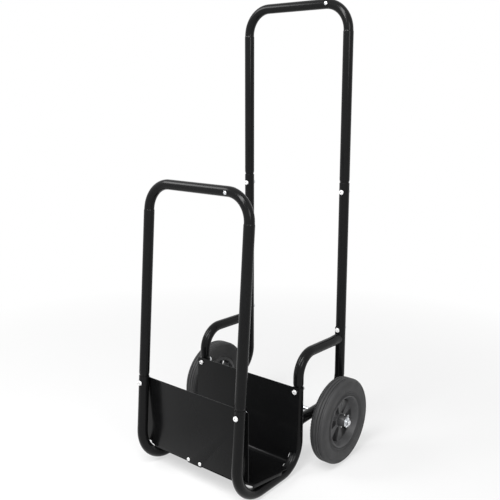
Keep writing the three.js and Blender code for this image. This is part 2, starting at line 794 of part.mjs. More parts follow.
// A bolt and its nut on one line along Y: head seated at headY, nut seated at nutY.
function placeBolted(parent, name, word, x, z, headY, nutY) {
  const length = nutY - headY + NUT_THICK + BOLT_PAST_NUT;
  const shape = bolt(BOLT_R, BOLT_HEAD_R, BOLT_HEAD_HEIGHT, length);
  place(parent, `${name}_bolt_${word}`, shape, ZINC, [x, headY, z]);
  place(parent, `${name}_nut_${word}`, nut(NUT_FLATS, NUT_THICK, BOLT_HOLE_R), ZINC, [x, nutY, z]);
}

const frameShape = geometry(sideFrame());
const postShape = geometry(rearPost());
const armShape = geometry(rearArm());
const tyreShape = geometry(tyre());
const rimShape = geometry(rim());
const washerShape = geometry(washer());
const pinShape = geometry(splitPin());

for (const { word, sign } of sides) {
  const side = new THREE.Group();
  side.name = `${word}_side`;
  side.position.x = (sign * TRACK) / 2;
  cart.add(side);
  place(side, `side_frame_${word}`, frameShape, COAT, [0, 0, 0]);
  place(side, `rear_post_${word}`, postShape, COAT, [0, 0, 0]);
  place(side, `rear_arm_${word}`, armShape, COAT, [0, 0, 0]);

  const headLow = FRONT_BOLT_Z - BOLT_HEAD_R;
  const frontHeadY = leanY(headLow) - TUBE_R / Math.cos(FRONT_LEAN) - GAP;
  placeBolted(side, 'front', word, 0, FRONT_BOLT_Z, frontHeadY, FRONT_PANEL_Y + SHEET + GAP);
  const backHeadY = backY(BACK_BOLT_Z - BOLT_HEAD_R) - GAP;
  placeBolted(side, 'back', word, 0, BACK_BOLT_Z, backHeadY, RISER_Y + TUBE_R + GAP);
  placeBolted(side, 'handle', word, 0, HANDLE_BOLT_Z, POST_Y - TUBE_R - GAP, POST_Y + TUBE_R + GAP);
  const armHeadY = POST_Y - TUBE_R - GAP - TONGUE_THICK - GAP;
  placeBolted(side, 'arm', word, 0, ARM_BOLT_Z, armHeadY, POST_Y + TUBE_R + GAP);

  const wheel = new THREE.Group();
  wheel.name = `${word}_wheel`;
  wheel.position.set(sign * WHEEL_X, AXLE_Y, WHEEL_R);
  wheel.rotation.z = sign > 0 ? 0 : Math.PI;
  cart.add(wheel);
  place(wheel, `tyre_${word}`, tyreShape, RUBBER, [0, 0, 0]);
  place(wheel, `wheel_rim_${word}`, rimShape, PLASTIC, [0, 0, 0]);
  const washerX = HUB_WIDTH / 2 + GAP + WASHER_THICK / 2;
  place(cart, `outer_washer_${word}`, washerShape, ZINC, [sign * (WHEEL_X + washerX), AXLE_Y, WHEEL_R]);
  place(cart, `inner_washer_${word}`, washerShape, ZINC, [sign * (WHEEL_X - washerX), AXLE_Y, WHEEL_R]);
  place(cart, `split_pin_${word}`, pinShape, ZINC, [sign * PIN_X, AXLE_Y, WHEEL_R]);

  const screwLength = FLOOR_FRONT_Y + SHEET + GAP - FRONT_PANEL_Y + GAP + SCREW_NUT_THICK + BOLT_PAST_NUT;
  const screwShape = bolt(SCREW_R, SCREW_HEAD_R, SCREW_HEAD_HEIGHT, screwLength);
  const screwX = sign * LUG_SCREW_X;
  place(cart, `panel_screw_${word}`, screwShape, ZINC, [screwX, FRONT_PANEL_Y - GAP, LUG_SCREW_Z]);
  const screwNut = nut(SCREW_NUT_FLATS, SCREW_NUT_THICK, SCREW_HOLE_R);
  place(cart, `panel_nut_${word}`, screwNut, ZINC, [screwX, FLOOR_FRONT_Y + SHEET + GAP, LUG_SCREW_Z]);
}

place(cart, 'front_panel', geometry(frontPanel()), COAT, [0, 0, 0]);
place(cart, 'floor_back_panel', geometry(floorAndBack()), COAT, [0, 0, 0]);
place(cart, 'axle', geometry(axle()), ZINC, [0, AXLE_Y, WHEEL_R]);

const frontPlane = new THREE.Group();
frontPlane.name = 'leaning_front_plane';
frontPlane.rotation.x = -FRONT_LEAN;
cart.add(frontPlane);
place(frontPlane, 'front_handle', geometry(frontHandle()), COAT, [0, 0, 0]);
const barScrew = bolt(SCREW_R, SCREW_HEAD_R, SCREW_HEAD_HEIGHT, BAR_SCREW_LENGTH);
barScrew.translate(0, -TUBE_R * BOW_SHARE - GAP, 0);
barScrew.rotateX(-BAR_SCREW_TILT);
place(frontPlane, 'front_bar_screw', barScrew, ZINC, [BAR_SCREW_X, 0, FRONT_BAR_Z / Math.cos(FRONT_LEAN)]);
place(cart, 'rear_handle', geometry(rearHandle()), COAT, [0, POST_Y, 0]);
place(cart, 'rear_bar_screw', barScrew, ZINC, [BAR_SCREW_X, POST_Y, REAR_BAR_Z]);

export default cart;
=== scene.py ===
# %% [markdown]
# # A fireside log cart
#
# The cart is a hoop-handled frame of bent steel tube, with a folded sheet cradle for the logs and
# two rubber-tyred wheels on one axle. The solids of the part are loaded first, as a frame that says
# where every piece sits. Each piece is then modelled again with smooth bends, rolled edges and a
# finish of its own, and hides the plain solid that it stands for.

import math

import bmesh
import bpy
import numpy as np
from mathutils import Matrix, Vector


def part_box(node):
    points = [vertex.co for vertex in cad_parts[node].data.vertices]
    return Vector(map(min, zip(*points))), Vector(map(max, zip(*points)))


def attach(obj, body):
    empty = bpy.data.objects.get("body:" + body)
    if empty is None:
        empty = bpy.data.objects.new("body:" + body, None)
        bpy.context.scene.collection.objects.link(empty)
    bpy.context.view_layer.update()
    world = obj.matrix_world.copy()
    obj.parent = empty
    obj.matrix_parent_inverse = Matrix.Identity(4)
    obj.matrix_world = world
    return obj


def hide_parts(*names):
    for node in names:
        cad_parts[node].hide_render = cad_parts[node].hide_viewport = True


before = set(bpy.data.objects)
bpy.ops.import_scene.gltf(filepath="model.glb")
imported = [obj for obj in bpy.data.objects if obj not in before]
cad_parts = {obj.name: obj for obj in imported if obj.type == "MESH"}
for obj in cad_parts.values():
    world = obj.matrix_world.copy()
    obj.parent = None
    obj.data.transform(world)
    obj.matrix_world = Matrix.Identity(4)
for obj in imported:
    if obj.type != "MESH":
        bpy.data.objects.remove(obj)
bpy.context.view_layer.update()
print("solids in the frame:", len(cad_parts))

# %% [markdown]
# ## Sizes
#
# A real cart is drawn in millimetres, so the sizes here are millimetres too, and every piece is
# turned into metres at the end. Writing the sizes once, by name, keeps pieces that touch in step:
# the handles, the posts and the side frames all read the same tube radius.

# %% Tube sizes
MM = 0.001
GAP = 0.3
TUBE_R = 11.75
WALL = 1.2
LIP_ROUNDING = 0.42
ROUNDING_STEPS = 3
TRACK = 282
NECK_SHARE = (TUBE_R - WALL - GAP) / TUBE_R
PLUG_DEPTH = 30
SHOULDER = 8
BOW_SHARE = 0.94
FRONT_LEAN = math.radians(4.5)
RISER_Y = 222
RISER_TOP = 200
RUN_Z = TUBE_R
FRONT_SOCKET_TOP = 220
FRONT_BEND_R, RISER_BEND_R = 75, 62
FRONT_BAR_Z, FRONT_BOW_R = 656, 58
REAR_BAR_Z, REAR_BOW_R = 1044, 60
POST_Y, POST_BEND_R, POST_SOCKET_TOP = 397, 62, 643
POST_RUN_Z = 118.05
ARM_CORNER_Z, ARM_BEND_R, ARM_DROP = 272.6, 50, math.radians(2)
FLARE_LENGTH, ARM_FLARE, STRUT_FLARE = 34, 1.2, 1.12
COPE_R = TUBE_R + GAP
TONGUE_THICK, TONGUE_HALF_WIDTH, TONGUE_RISE = 2.5, 8.5, 33

# %% Cradle and wheel sizes
SHEET = 1.5
SHEET_ROUNDING = 0.4
CRADLE_HALF = TRACK / 2 + TUBE_R
WAIST_HALF = TRACK / 2 - TUBE_R - 1.5
PANEL_TOP, PANEL_BOTTOM, PANEL_CORNER = 213, 49, 8
LUG_HALF, LUG_DROP = 21, 5.5
FLOOR_FRONT_Z, FLOOR_FALL = 46.5, 0.142
BACK_TOP, BACK_LEAN, FOLD_R, LIP = 203, math.radians(2.5), 7, 6
FLANGE_TOP = 62
AXLE_Y, AXLE_R, WHEEL_R, WHEEL_X = 316.7, 6, 100, 192
HUB_WIDTH, TYRE_SEAT_R = 38, 62
AXLE_BORE_R = AXLE_R + 0.35
WASHER_R, WASHER_THICK = 11.5, 2
PIN_R, PIN_LENGTH, PIN_EYE_R = 1.6, 24, 4

axle_low, axle_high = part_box("axle")
Y_SHIFT = (axle_low.y + axle_high.y) / 2 / MM - AXLE_Y
print("drawing moved along Y by", round(Y_SHIFT, 2), "mm")

# %% [markdown]
# ## Small helpers
#
# `settle` is the one place where a drawing in millimetres becomes a piece of the scene: it writes
# the place into the mesh and leaves the object at the origin. `baked` turns an object with live
# modifiers into a plain mesh, which is what the later steps and any export expect.

# %% Placing and baking
def settle(piece, place=None):
    """Moves a piece drawn in millimetres to its place in the scene, in metres."""
    to_scene = Matrix.Scale(MM, 4) @ Matrix.Translation((0, Y_SHIFT, 0))
    piece.data.transform(to_scene @ (place or Matrix()))
    piece.matrix_world = Matrix()
    return piece


def new_object(name, mesh):
    made = bpy.data.objects.new(name, mesh)
    bpy.context.scene.collection.objects.link(made)
    return made


def from_points(name, points, faces=(), edges=()):
    mesh = bpy.data.meshes.new(name)
    mesh.from_pydata([tuple(map(float, p)) for p in points], list(edges), list(faces))
    mesh.update()
    return new_object(name, mesh)


def baked(carrier, name):
    """Turns an object and its modifiers into one plain mesh object, and removes the carrier."""
    bpy.context.view_layer.update()
    graph = bpy.context.evaluated_depsgraph_get()
    mesh = bpy.data.meshes.new_from_object(carrier.evaluated_get(graph))
    bpy.data.objects.remove(carrier)
    mesh.name = name
    return new_object(name, mesh)


# %% Cleaning and shading a mesh
def weld(piece, merge=0.001):
    """Merges doubled points, and then turns every face outwards."""
    work = bmesh.new()
    work.from_mesh(piece.data)
    bmesh.ops.remove_doubles(work, verts=work.verts, dist=merge)
    bmesh.ops.recalc_face_normals(work, faces=work.faces)
    work.to_mesh(piece.data)
    work.free()
    return piece


def shade(piece, sharp_from=32):
    """Smooth shading, with edges left sharp where faces meet at more than this angle."""
    piece.data.shade_smooth()
    piece.data.set_sharp_from_angle(angle=math.radians(sharp_from))
    return piece


def joined(name, pieces):
    """Several mesh objects as one."""
    work = bmesh.new()
    materials = []
    for piece in pieces:
        start = len(work.faces)
        work.from_mesh(piece.data)
        material = piece.data.materials[0] if piece.data.materials else None
        if material not in materials:
            materials.append(material)
        work.faces.ensure_lookup_table()
        for face in work.faces[start:]:
            face.material_index = materials.index(material)
        bpy.data.objects.remove(piece)
    mesh = bpy.data.meshes.new(name)
    work.to_mesh(mesh)
    work.free()
    for material in materials:
        mesh.materials.append(material)
    return new_object(name, mesh)


def give_wall(piece, thickness, rounding, name, corner=50):
    """Turns a skin into a wall behind it, with its cut edges rounded over."""
    wall = piece.modifiers.new("wall", "SOLIDIFY")
    wall.thickness, wall.offset = thickness, -1
    soften = piece.modifiers.new("rounding", "BEVEL")
    soften.width, soften.segments = rounding, ROUNDING_STEPS
    soften.limit_method, soften.angle_limit = "ANGLE", math.radians(corner)
    return baked(piece, name)


# %% [markdown]
# ## Shared shader groups
#
# All the finishes need the same thing: soft patches where the surface varies a little, a
# fine grain for the bump, and a few scuffs. A node group makes these once, from Object coordinates,
# and each material sets its own sizes. The group puts out masks only, and the shader itself stays
# in each material, so that every finish can be read on its own.

# %% Patches, grain and scuffs
def group_math(tree, operation, first, second):
    node = tree.nodes.new("ShaderNodeMath")
    node.operation = operation
    for socket, value in zip(node.inputs, (first, second)):
        if isinstance(value, (int, float)):
            socket.default_value = value
        else:
            tree.links.new(value, socket)
    return node.outputs[0]


def uneven_group():
    tree = bpy.data.node_groups.new("uneven surface", "ShaderNodeTree")
    sockets = tree.interface
    sockets.new_socket("Place", in_out="INPUT", socket_type="NodeSocketVector")
    for label in ("Patch size", "Grain size", "Scuff amount"):
        sockets.new_socket(label, in_out="INPUT", socket_type="NodeSocketFloat")
    for label in ("Patches", "Grain", "Scuffs"):
        sockets.new_socket(label, in_out="OUTPUT", socket_type="NodeSocketFloat")
    given = tree.nodes.new("NodeGroupInput").outputs
    result = tree.nodes.new("NodeGroupOutput").inputs
    noises = {}
    for label, detail in (("Patch size", 3), ("Grain size", 2)):
        noise = tree.nodes.new("ShaderNodeTexNoise")
        noise.inputs["Detail"].default_value = detail
        tree.links.new(given["Place"], noise.inputs["Vector"])
        tree.links.new(group_math(tree, "DIVIDE", 1.0, given[label]), noise.inputs["Scale"])
        noises[label] = noise.outputs["Fac"]
    stretch = tree.nodes.new("ShaderNodeMapping")
    stretch.inputs["Scale"].default_value = (260, 210, 38)
    scratches = tree.nodes.new("ShaderNodeTexNoise")
    scratches.inputs["Scale"].default_value = 1.0
    scratches.inputs["Detail"].default_value = 4
    tree.links.new(given["Place"], stretch.inputs["Vector"])
    tree.links.new(stretch.outputs["Vector"], scratches.inputs["Vector"])
    thin = group_math(tree, "GREATER_THAN", scratches.outputs["Fac"], 0.66)
    here = group_math(tree, "MULTIPLY", thin, noises["Patch size"])
    tree.links.new(noises["Patch size"], result["Patches"])
    tree.links.new(noises["Grain size"], result["Grain"])
    tree.links.new(group_math(tree, "MULTIPLY", here, given["Scuff amount"]), result["Scuffs"])
    return tree


uneven = uneven_group()
print("shader group:", uneven.name)


# %% Rings round the axle
def rings_group():
    """Fine rings round the X axis through Centre, as a mould leaves them."""
    tree = bpy.data.node_groups.new("mould rings", "ShaderNodeTree")
    sockets = tree.interface
    sockets.new_socket("Place", in_out="INPUT", socket_type="NodeSocketVector")
    sockets.new_socket("Centre", in_out="INPUT", socket_type="NodeSocketVector")
    sockets.new_socket("Spacing", in_out="INPUT", socket_type="NodeSocketFloat")
    sockets.new_socket("Rings", in_out="OUTPUT", socket_type="NodeSocketFloat")
    given = tree.nodes.new("NodeGroupInput").outputs
    result = tree.nodes.new("NodeGroupOutput").inputs
    from_axle = tree.nodes.new("ShaderNodeVectorMath")
    from_axle.operation = "SUBTRACT"
    flat = tree.nodes.new("ShaderNodeVectorMath")
    flat.operation = "MULTIPLY"
    flat.inputs[1].default_value = (0, 1, 1)
    radius = tree.nodes.new("ShaderNodeVectorMath")
    radius.operation = "LENGTH"
    tree.links.new(given["Place"], from_axle.inputs[0])
    tree.links.new(given["Centre"], from_axle.inputs[1])
    tree.links.new(from_axle.outputs["Vector"], flat.inputs[0])
    tree.links.new(flat.outputs["Vector"], radius.inputs[0])
    turns = group_math(tree, "DIVIDE", radius.outputs["Value"], given["Spacing"])
    wave = group_math(tree, "SINE", group_math(tree, "MULTIPLY", turns, 2 * math.pi), 0)
    tree.links.new(group_math(tree, "ADD", wave, 1.0), result["Rings"])
    return tree


rings = rings_group()
print("shader group:", rings.name)


# %% [markdown]
# ## Starting a finish
#
# Every finish begins the same way: a Principled shader, the piece's own Object coordinates, and the
# uneven-surface group. Sockets that stay the same all over are set straight on the shader. What
# varies, such as colour, roughness and bump, is wired from the group.

# %% A finish and its colour range
class Finish:
    """A material in the making, with short names for the nodes that every finish uses."""

    def __init__(self, name, patch, grain, scuffs):
        self.material = bpy.data.materials.new(name)
        self.material.use_nodes = True
        self.tree = self.material.node_tree
        self.shader = self.tree.nodes["Principled BSDF"]
        self.place = self.tree.nodes.new("ShaderNodeTexCoord").outputs["Object"]
        self.surface = self.group(uneven)
        for label, value in (("Patch size", patch), ("Grain size", grain), ("Scuff amount", scuffs)):
            self.surface.inputs[label].default_value = value

    def group(self, group_tree):
        node = self.tree.nodes.new("ShaderNodeGroup")
        node.node_tree = group_tree
        self.tree.links.new(self.place, node.inputs["Place"])
        return node

    def mixed(self, mask, low, high):
        """A colour between low and high, as the mask goes from 0 to 1."""
        node = self.tree.nodes.new("ShaderNodeMix")
        node.data_type, node.clamp_factor = "RGBA", True
        self.tree.links.new(mask, node.inputs["Factor"])
        for socket, colour in ((node.inputs[6], low), (node.inputs[7], high)):
            if isinstance(colour, tuple):
                socket.default_value = (*colour, 1)
            else:
                self.tree.links.new(colour, socket)
        return node.outputs[2]

    def ranged(self, value, low, high, lowest=0.0, highest=1.0):
        """A value spread from low to high as its source goes from lowest to highest."""
        node = self.tree.nodes.new("ShaderNodeMapRange")
        numbers = (("From Min", lowest), ("From Max", highest), ("To Min", low), ("To Max", high))
        for label, number in numbers:
            node.inputs[label].default_value = number
        self.tree.links.new(value, node.inputs["Value"])
        return node.outputs["Result"]

    def bump(self, height, depth, below=None):
        """A bump of this depth in metres, on top of another one if given."""
        node = self.tree.nodes.new("ShaderNodeBump")
        node.inputs["Distance"].default_value = depth
        self.tree.links.new(height, node.inputs["Height"])
        if below is not None:
            self.tree.links.new(below, node.inputs["Normal"])
        return node.outputs["Normal"]

    def set(self, **sockets):
        """Wires or sets the shader's sockets, written with underscores for blanks."""
        for label, value in sockets.items():
            socket = self.shader.inputs[label.replace("_", " ")]
            if isinstance(value, bpy.types.NodeSocket):
                self.tree.links.new(value, socket)
            else:
                socket.default_value = value
        return self.material


# %% [markdown]
# ## Black coat on tube and sheet
#
# The frame is powder coated: a baked plastic skin, fairly glossy, with a fine orange-peel ripple
# and a few faint rub marks from logs and hands. A mirror-smooth black would look like lacquer. A
# ripple about a millimetre wide and a hundredth of a millimetre deep, with a roughness near 0.2,
# gives the soft, slightly broken highlight along each bend.

# %% Black coat
def black_coat():
    made = Finish("black coat", patch=0.07, grain=0.0013, scuffs=0.35)
    patches, scuffs = made.surface.outputs["Patches"], made.surface.outputs["Scuffs"]
    even = made.mixed(patches, (0.0045, 0.0046, 0.0048), (0.0068, 0.0069, 0.0072))
    colour = made.mixed(scuffs, even, (0.014, 0.014, 0.0145))
    ripple = made.bump(made.surface.outputs["Grain"], 0.00001)
    return made.set(
        Base_Color=colour,
        Roughness=made.ranged(patches, 0.16, 0.22, 0.3, 0.7),
        Normal=ripple,
        Specular_IOR_Level=0.12,
    )


BLACK = black_coat()
print("finish:", BLACK.name)

# %% [markdown]
# ## Bright zinc on bolts, nuts and the axle
#
# Fasteners are zinc plated: a metal, so Metallic is 1 and the colour is the reflection's tint. Zinc
# clouds unevenly in the bath, which patches of slightly different roughness show best.

# %% Bright zinc
def bright_zinc():
    made = Finish("bright zinc", patch=0.006, grain=0.0009, scuffs=0.8)
    patches = made.surface.outputs["Patches"]
    colour = made.mixed(patches, (0.52, 0.54, 0.57), (0.80, 0.81, 0.82))
    worn = made.mixed(made.surface.outputs["Scuffs"], colour, (0.42, 0.41, 0.39))
    return made.set(
        Base_Color=worn,
        Metallic=1.0,
        Roughness=made.ranged(patches, 0.22, 0.38, 0.3, 0.7),
        Normal=made.bump(made.surface.outputs["Grain"], 0.00002),
    )


ZINC = bright_zinc()
print("finish:", ZINC.name)

# %% [markdown]
# ## Tyre rubber
#
# Moulded rubber is a dark warm grey, dull, and a little dusty where the tread has touched the
# floor. The mould leaves fine rings round the sidewall, so this finish adds the ring group to its
# bump. One material serves both wheels, because both stand on one axle line.

# %% Tyre rubber
def tyre_rubber():
    made = Finish("tyre rubber", patch=0.03, grain=0.0011, scuffs=0.6)
    patches = made.surface.outputs["Patches"]
    base = made.mixed(patches, (0.022, 0.022, 0.023), (0.036, 0.036, 0.037))
    dusty = made.mixed(made.surface.outputs["Scuffs"], base, (0.08, 0.077, 0.073))
    ring = made.group(rings)
    ring.inputs["Centre"].default_value = (0, (AXLE_Y + Y_SHIFT) * MM, WHEEL_R * MM)
    ring.inputs["Spacing"].default_value = 0.0016
    fine = made.bump(made.surface.outputs["Grain"], 0.00004)
    return made.set(
        Base_Color=dusty,
        Roughness=made.ranged(patches, 0.55, 0.72, 0.3, 0.7),
        Normal=made.bump(ring.outputs["Rings"], 0.00005, fine),
        Specular_IOR_Level=0.45,
    )


RUBBER = tyre_rubber()
print("finish:", RUBBER.name)

# %% [markdown]
# ## Wheel plastic
#
# The rims are moulded in black plastic with a satin, finely sparked texture. It is a shade lighter
# than the rubber in the photograph, because it faces the light and is smoother.

# %% Wheel plastic
def wheel_plastic():
    made = Finish("wheel plastic", patch=0.02, grain=0.0006, scuffs=0.5)
    patches = made.surface.outputs["Patches"]
    base = made.mixed(patches, (0.040, 0.040, 0.042), (0.060, 0.060, 0.062))
    rubbed = made.mixed(made.surface.outputs["Scuffs"], base, (0.10, 0.10, 0.10))
    return made.set(
        Base_Color=rubbed,
        Roughness=made.ranged(patches, 0.40, 0.52, 0.3, 0.7),
        Normal=made.bump(made.surface.outputs["Grain"], 0.00003),
    )


PLASTIC = wheel_plastic()
print("finish:", PLASTIC.name)


# %% [markdown]
# ## Running a Geometry Nodes tree
#
# Several pieces come from Geometry Nodes trees. `Tree` builds one with named inputs, and `run` puts
# it on a carrier object, sets the inputs by each socket's identifier before anything is evaluated,
# and bakes the result, so no modifier is left alive.

# %% Building and running a tree
class Tree:
    """A Geometry Nodes tree with named inputs."""

    def __init__(self, name, inputs):
        self.tree = bpy.data.node_groups.new(name, "GeometryNodeTree")
        sockets = self.tree.interface
        sockets.new_socket("Geometry", in_out="INPUT", socket_type="NodeSocketGeometry")
        for label, kind in inputs.items():
            sockets.new_socket(label, in_out="INPUT", socket_type="NodeSocket" + kind)
        sockets.new_socket("Geometry", in_out="OUTPUT", socket_type="NodeSocketGeometry")
        self.given = self.tree.nodes.new("NodeGroupInput").outputs
        self.result = self.tree.nodes.new("NodeGroupOutput").inputs

    def node(self, kind, settings=None, **inputs):
        """Adds a node, with its settings, and wires or sets its inputs by name or number."""
        made = self.tree.nodes.new(kind)
        for label, value in (settings or {}).items():
            setattr(made, label, value)
        for label, value in inputs.items():
            key = int(label[1:]) if label[0] == "_" else label.replace("_", " ")
            if isinstance(value, bpy.types.NodeSocket):
                self.tree.links.new(value, made.inputs[key])
            else:
                made.inputs[key].default_value = value
        return made.outputs

    def vector(self, operation, first, second=(0, 0, 0), scale=None):
        extra = {} if scale is None else {"Scale": scale}
        return self.node("ShaderNodeVectorMath", {"operation": operation}, _0=first, _1=second, **extra)

    def attribute(self, name, kind="FLOAT"):
        return self.node("GeometryNodeInputNamedAttribute", {"data_type": kind}, Name=name)["Attribute"]

    def finish(self, geometry, material):
        real = self.node("GeometryNodeRealizeInstances", Geometry=geometry)["Geometry"]
        coated = self.node("GeometryNodeSetMaterial", Geometry=real, Material=material)["Geometry"]
        self.tree.links.new(coated, self.result["Geometry"])
        return self.tree


def run(tree, carrier, name, **values):
    modifier = carrier.modifiers.new(tree.name, "NODES")
    modifier.node_group = tree
    named = {label.replace("_", " "): value for label, value in values.items()}
    for item in tree.interface.items_tree:
        if item.item_type == "SOCKET" and item.in_out == "INPUT" and item.name in named:
            modifier[item.identifier] = named.pop(item.name)
    assert not named, f"no such inputs: {sorted(named)}"
    return baked(carrier, name)


# %% [markdown]
# ## Bent tube
#
# Each side of the frame is one tube bent cold round a former, and its size changes along the way:
# necked down where it plugs into the next tube, drawn a little thinner round a bow, pressed taller
# where it meets another tube. A curve with a bevel could sweep it, but not squash it one way only.
# So the tree sweeps a circle along the centre line, and then moves every point of the skin nearer
# to or further from its own centre, by two shares that the line carries: one across the plane of
# the bend and one within it.

# %% The tree that sweeps a tube
def tube_tree():
    made = Tree("tube along a bent line", {
        "Radius": "Float", "Sides": "Int", "Bend normal": "Vector", "Coat": "Material"})
    given = made.given
    line = made.node("GeometryNodeMeshToCurve", Mesh=given["Geometry"])["Curve"]
    circle = made.node("GeometryNodeCurvePrimitiveCircle", Radius=given["Radius"],
                       Resolution=given["Sides"])["Curve"]
    skin = made.node("GeometryNodeCurveToMesh", Curve=line, Profile_Curve=circle)["Mesh"]
    centre = made.attribute("centre", "FLOAT_VECTOR")
    place = made.node("GeometryNodeInputPosition")["Position"]
    offset = made.vector("SUBTRACT", place, centre)["Vector"]
    out = made.vector("DOT_PRODUCT", offset, given["Bend normal"])["Value"]
    sideways = made.vector("SCALE", given["Bend normal"], scale=out)["Vector"]
    inward = made.vector("SUBTRACT", offset, sideways)["Vector"]
    wide = made.vector("SCALE", sideways, scale=made.attribute("across"))["Vector"]
    tall = made.vector("SCALE", inward, scale=made.attribute("within"))["Vector"]
    moved = made.vector("ADD", centre, made.vector("ADD", wide, tall)["Vector"])["Vector"]
    shaped = made.node("GeometryNodeSetPosition", Geometry=skin, Position=moved)["Geometry"]
    for name in ("centre", "across", "within"):
        shaped = made.node("GeometryNodeRemoveAttribute", Geometry=shaped, Name=name)["Geometry"]
    return made.finish(shaped, given["Coat"])


TUBE_TREE = tube_tree()
print("tree:", TUBE_TREE.name, "with", len(TUBE_TREE.nodes), "nodes")


# %% A centre line with rounded corners
BEND_STEPS = 20


def unit(vector):
    return vector / np.linalg.norm(vector)


def bent_line(corners, radii):
    """Points along a line whose inner corners are rounded with these radii."""
    corners = [np.array(corner, float) for corner in corners]
    line = [corners[0]]
    for before, corner, after, radius in zip(corners, corners[1:], corners[2:], radii):
        into, out = unit(corner - before), unit(after - corner)
        sweep = math.acos(float(into @ out))
        start = corner - into * radius * math.tan(sweep / 2)
        inward = unit(out - into * float(into @ out))
        for angle in np.linspace(0, sweep, BEND_STEPS + 1):
            along, aside = radius * math.sin(angle), radius * (1 - math.cos(angle))
            line.append(start + into * along + inward * aside)
    line.append(corners[-1])
    return np.array(line)


def lengths_along(line):
    steps = np.linalg.norm(np.diff(line, axis=0), axis=1)
    return np.concatenate([[0], np.cumsum(steps)])


# %% A tube from its centre line and its sizes
def eased(lengths, knots):
    """Sizes along the line, going smoothly from each (length, size) knot to the next."""
    sizes = np.full(len(lengths), float(knots[0][1]))
    for (start, low), (end, high) in zip(knots, knots[1:]):
        t = np.clip((lengths - start) / (end - start), 0, 1)
        sizes = np.where(lengths >= start, low + (high - low) * t * t * (3 - 2 * t), sizes)
    return sizes


def tube_skin(name, line, bend_normal, across=((0, 1),), within=None, radius=TUBE_R, coat=None):
    """The outer skin of a tube. Sizes are shares of the radius at lengths along the line."""
    within = within or across
    lengths = lengths_along(line)
    total = lengths[-1]
    stations = [lengths, [0.6, total - 0.6]]
    for knots in (across, within):
        for (start, low), (end, high) in zip(knots, knots[1:]):
            if low != high:
                stations.append(np.linspace(start, end, 9))
    every = np.concatenate(stations)
    every = np.unique(np.round(every[(every >= 0) & (every <= total)], 3))
    centres = np.stack([np.interp(every, lengths, line[:, k]) for k in range(3)], axis=1)
    carrier = from_points(name, centres, edges=[(i, i + 1) for i in range(len(every) - 1)])
    for label, values in (("across", eased(every, across)), ("within", eased(every, within))):
        carrier.data.attributes.new(label, "FLOAT", "POINT").data.foreach_set("value", values)
    centre = carrier.data.attributes.new("centre", "FLOAT_VECTOR", "POINT")
    centre.data.foreach_set("vector", centres.ravel())
    skin = run(TUBE_TREE, carrier, name, Radius=radius, Sides=48, Bend_normal=bend_normal,
               Coat=coat or BLACK)
    return weld(skin)


def tube(name, *args, **sizes):
    """A tube with its wall, and with its lips rounded over as a saw and a deburring leave them."""
    return shade(give_wall(tube_skin(name, *args, **sizes), WALL, LIP_ROUNDING, name))


# %% [markdown]
# ## The side frames
#
# On each side one tube makes the leaning front socket, the run on the ground and the riser behind
# the cradle. Both of its ends stay open, as sockets for the tubes above.

# %% Side frames
SIDES = (("left", -1), ("right", 1))
ACROSS_SIDE = (1, 0, 0)
ACROSS_HANDLE = (0, 1, 0)


def lean_y(z):
    return math.tan(FRONT_LEAN) * z


def ready(piece, material_slot, body, *nodes):
    """Attaches a settled piece to its body and hides the solids that it stands for. The finish it is
    given is not used.
    """
    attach(piece, body)
    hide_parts(*nodes)
    return piece


def side_frame(word, sign):
    x = sign * TRACK / 2
    line = bent_line(
        [
            (x, lean_y(FRONT_SOCKET_TOP), FRONT_SOCKET_TOP),
            (x, lean_y(RUN_Z), RUN_Z),
            (x, RISER_Y, RUN_Z),
            (x, RISER_Y, RISER_TOP),
        ],
        [FRONT_BEND_R, RISER_BEND_R],
    )
    piece = settle(tube(f"side_tube_{word}", line, ACROSS_SIDE))
    return ready(piece, "black_coat", "frame", f"side_frame_{word}")


for word, sign in SIDES:
    made = side_frame(word, sign)
    print(made.name, len(made.data.polygons), "faces")

# %% [markdown]
# ## The handles
#
# Each handle is one hoop. Its two feet are necked to plug into the sockets below, with a short
# shoulder that shows as a waist at the seam, and its bow is drawn slightly thinner by the bending.
# The front hoop leans with the front sockets, so it is drawn upright and then tilted.

# %% Handles
def handle_line(seam, bar, bow_r):
    half, foot = TRACK / 2, seam - PLUG_DEPTH
    return bent_line([(-half, 0, foot), (-half, 0, bar), (half, 0, bar), (half, 0, foot)],
                     [bow_r, bow_r])


def handle_sizes(line, bow_r, seam, bar):
    total = lengths_along(line)[-1]
    bow = bar - bow_r - (seam - PLUG_DEPTH)
    one_end = [(0, NECK_SHARE), (PLUG_DEPTH, NECK_SHARE), (PLUG_DEPTH + SHOULDER, 1),
               (bow - 3, 1), (bow, BOW_SHARE)]
    return one_end + [(total - length, size) for length, size in reversed(one_end)]


def handle(name, seam, bar, bow_r, node, place):
    line = handle_line(seam, bar, bow_r)
    piece = tube(name, line, ACROSS_HANDLE, across=handle_sizes(line, bow_r, seam, bar))
    return ready(settle(piece, place), "black_coat", "frame", node)


ALONG_LEAN = 1 / math.cos(FRONT_LEAN)
LEANING = Matrix.Rotation(-FRONT_LEAN, 4, "X")
low_hoop = handle("front_hoop", FRONT_SOCKET_TOP * ALONG_LEAN, FRONT_BAR_Z * ALONG_LEAN,
                  FRONT_BOW_R, "front_handle", LEANING)
tall_hoop = handle("rear_hoop", POST_SOCKET_TOP, REAR_BAR_Z, REAR_BOW_R, "rear_handle",
                   Matrix.Translation((0, POST_Y, 0)))
print("hoops:", low_hoop.name, tall_hoop.name)


# %% [markdown]
# ## Posts and arms
#
# The rear post turns forward at its foot and butts against the riser, and the arm runs back from
# the riser to the post. Where a tube meets the side of another it is coped: its end is cut to the
# curve of the tube it meets. Coping is simple here, because both tubes are square to each other:
# each point of the end ring slides along its own tube until it lies on the other one.

